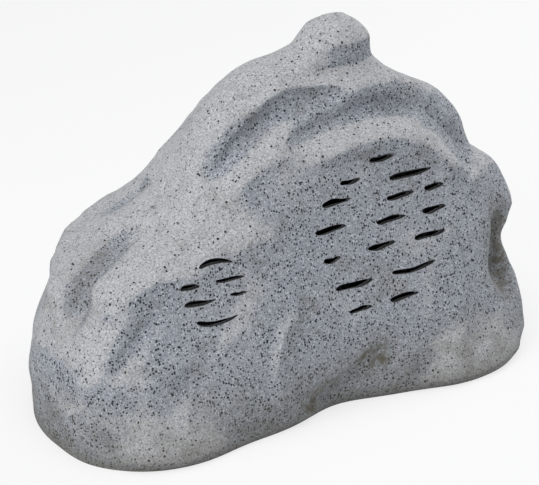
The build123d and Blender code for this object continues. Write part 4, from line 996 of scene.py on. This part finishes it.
finishes = {
    # Foamed PVC sheet: matt black, sawn and faintly pebbled
    "pvc_board": grained("foamed_pvc_board", "#151515", "#232323", 1.4, 0.62, 0.15, IOR=1.53),
    # Stainless steel: pale, turned, with fine streaks
    "stainless_steel": grained("turned_stainless_steel", "#A8A7A3", "#C4C3C0", 0.6, 0.32, 0.02,
                               (1.0, 1.0, 6.0), Metallic=1.0),
    # Powder coat on pressed steel: black with an orange peel
    "black_steel": grained("powder_coated_steel", "#101011", "#1C1C1D", 1.1, 0.48, 0.12, IOR=1.5),
    # Butyl rubber: satin, almost even
    "butyl_rubber": grained("butyl_rubber", "#121213", "#1D1D1E", 3.0, 0.55, 0.05, IOR=1.52),
    # Mica filled polypropylene: dark grey with a silky sparkle of flakes
    "polypropylene": grained("mica_filled_polypropylene", "#1B1C1F", "#35373B", 0.7, 0.42, 0.04, IOR=1.49),
    # Aluminium foil of the coil former: bright, rolled
    "aluminium_foil": grained("rolled_aluminium_foil", "#C2C3C6", "#DADBDD", 0.9, 0.28, 0.01,
                              (1.0, 5.0, 1.0), Metallic=1.0),
    # Zinc plate on steel: cool grey with cloudy crystals
    "zinc_steel": grained("zinc_plated_steel", "#9A9B98", "#BCBDBA", 5.0, 0.34, 0.02, Metallic=1.0),
    # Ferrite: sintered, dark grey, ground dull
    "ferrite": grained("ground_ferrite", "#242527", "#3A3B3E", 0.9, 0.58, 0.06, IOR=2.0),
    # Paper laminate of the terminal strips: brown, fibrous
    "terminal_strip": grained("paper_laminate", "#5A3B1E", "#7C5530", 1.2, 0.5, 0.05,
                              (1.0, 4.0, 1.0), IOR=1.55),
    # ABS mouldings: satin black with a spark eroded texture
    "black_abs": grained("moulded_abs", "#131314", "#1E1E1F", 0.8, 0.52, 0.08, IOR=1.54),
    # Solder mask over copper: green, lighter where copper lies beneath
    "circuit_board": grained("solder_masked_board", "#0F3D1E", "#1D5C31", 5.5, 0.35, 0.05, IOR=1.55),
    # Shrunk sleeve of the capacitors: dark blue, glossy, faintly wrinkled
    "capacitor_sleeve": grained("shrunk_pvc_sleeve", "#16213F", "#22305A", 4.0, 0.26, 0.05, IOR=1.53),
    # Cement body of the resistor: off white, sandy
    "resistor_ceramic": grained("cast_cement", "#CFCBBF", "#E4E0D5", 0.8, 0.8, 0.12, IOR=1.55),
    # Nylon of the terminal block: green, satin
    "green_nylon": grained("moulded_green_nylon", "#1E6B3A", "#2A8049", 1.2, 0.45, 0.06, IOR=1.53),
    # PVC sheath of the leads: red, soft gloss
    "lead_sheath": grained("pvc_sheath", "#8E1414", "#A81F1C", 2.5, 0.4, 0.04, IOR=1.53),
    # Nylon of the cable gland: black, satin, weathered a little grey
    "black_nylon": grained("moulded_black_nylon", "#19191A", "#2A2A2B", 1.6, 0.5, 0.06, IOR=1.53),
}
print("grained finishes:", len(finishes))

# %% Foam, cloth and wire
def foam(name, bubble_mm):
    """Closed cell rubber foam: a Voronoi cell for each bubble, darkest at its middle."""
    finish, tree, shader = new_finish(name, Roughness=0.9, IOR=1.5)
    place = node(tree, "TexCoord", out="Object")
    bubble = node(tree, "TexVoronoi", [("Vector", place), ("Scale", per_mm / bubble_mm)], out="Distance")
    # The middle of each cell, sunk by the bump, is darker: painted shade in the pore
    tone = node(tree, "Mix", [(0, bubble), (6, linear("#101011")), (7, linear("#2B2B2C"))], out=2,
                data_type="RGBA")
    pores = node(tree, "Bump", [("Height", bubble), ("Strength", 0.6), ("Distance", 0.0003)], out=0)
    feed(tree, shader, Base_Color=tone, Normal=pores)
    return finish


wave_radians = 20.0


def woven(name, first, second, thread_mm, rough):
    """Cloth: two sets of threads that cross, each a wave, the higher one on top. A Wave texture turns by 20
    radians in a unit, so this weave is about six times as coarse as its thread, which lets it show."""
    finish, tree, shader = new_finish(name, Roughness=rough, IOR=1.5, Sheen_Weight=0.15)
    place = node(tree, "TexCoord", out="Object")
    threads = [("Vector", place), ("Scale", per_mm / thread_mm / wave_radians)]
    warp, weft = (node(tree, "TexWave", threads, out="Fac", bands_direction=way) for way in "XZ")
    over = node(tree, "Math", [(0, warp), (1, weft)], out=0, operation="MAXIMUM")
    # Painted light and shade: the higher thread lighter, the gaps between threads darker
    tone = node(tree, "Mix", [(0, over), (6, linear(first)), (7, linear(second))], out=2, data_type="RGBA")
    raised = node(tree, "Bump", [("Height", over), ("Strength", 0.6), ("Distance", 0.0002)], out=0)
    feed(tree, shader, Base_Color=tone, Normal=raised)
    return finish


def wound(name, axis, wire_mm):
    """Enamelled wire in turns: a sine of the distance along the coil's axis, one wave for each wire."""
    finish, tree, shader = new_finish(name, Metallic=1.0, Roughness=0.3, Coat_Weight=0.5)
    place = node(tree, "TexCoord", out="Object")
    turns_a_metre = per_mm / wire_mm
    reach = node(tree, "VectorMath", [(0, place), (1, tuple(axis))], out="Value", operation="DOT_PRODUCT")
    phase = node(tree, "Math", [(0, reach), (1, 2 * np.pi * turns_a_metre)], out=0, operation="MULTIPLY")
    wave = node(tree, "Math", [(0, phase)], out=0, operation="SINE")
    share = node(tree, "MapRange", [(0, wave), (1, -1.0), (2, 1.0)], out=0)
    # Painted light and shade: each turn's crest lighter, the groove between turns darker
    tone = node(tree, "Mix", [(0, share), (6, linear("#6A2E12")), (7, linear("#C1672F"))], out=2,
                data_type="RGBA")
    raised = node(tree, "Bump", [("Height", share), ("Strength", 0.8), ("Distance", 0.0003)], out=0)
    feed(tree, shader, Base_Color=tone, Normal=raised)
    return finish


# Cut gasket foam: matt black, with the cells showing
finishes["foam_rubber"] = foam("closed_cell_foam", bubble_mm=0.7)
# Cotton dipped in phenolic resin: amber, stiff, with the weave showing
finishes["resin_cloth"] = woven("resin_dipped_cotton", "#6B4A1C", "#B98A42", 0.8, 0.6)
# Silk under a tacky coat: near black, satin
finishes["coated_silk"] = woven("coated_silk", "#121214", "#2A2A2E", 0.5, 0.45)
# Copper wire under clear enamel, wound along each coil's own axis
coil_finishes = {
    "woofer_coil": wound("wound_copper_woofer", woofer[3], 0.4),
    "tweeter_coil": wound("wound_copper_tweeter", tweeter[3], 0.3),
    "inductor_winding": wound("wound_copper_inductor", (0.0, 0.0, 1.0), 1.1),
}
print("patterned finishes:", 3 + len(coil_finishes))

# %% Dress the CAD pieces
slot_of = {part["node"]: part["material_slot"] for part in frame["record"]["subparts"]}
replaced = {"rock_shell", "woofer_surround", "woofer_spider"}
for name, slot in slot_of.items():
    if name not in replaced:
        pieces[name].data.materials.clear()
        pieces[name].data.materials.append(coil_finishes.get(name) or finishes[slot])
for half in (roll_outer, roll_inner):
    half.data.materials.append(finishes["butyl_rubber"])
for pleat in (*spider_rings, spider_land):
    pleat.data.materials.append(finishes["resin_cloth"])
print("dressed:", len(slot_of) - len(replaced), "CAD pieces")
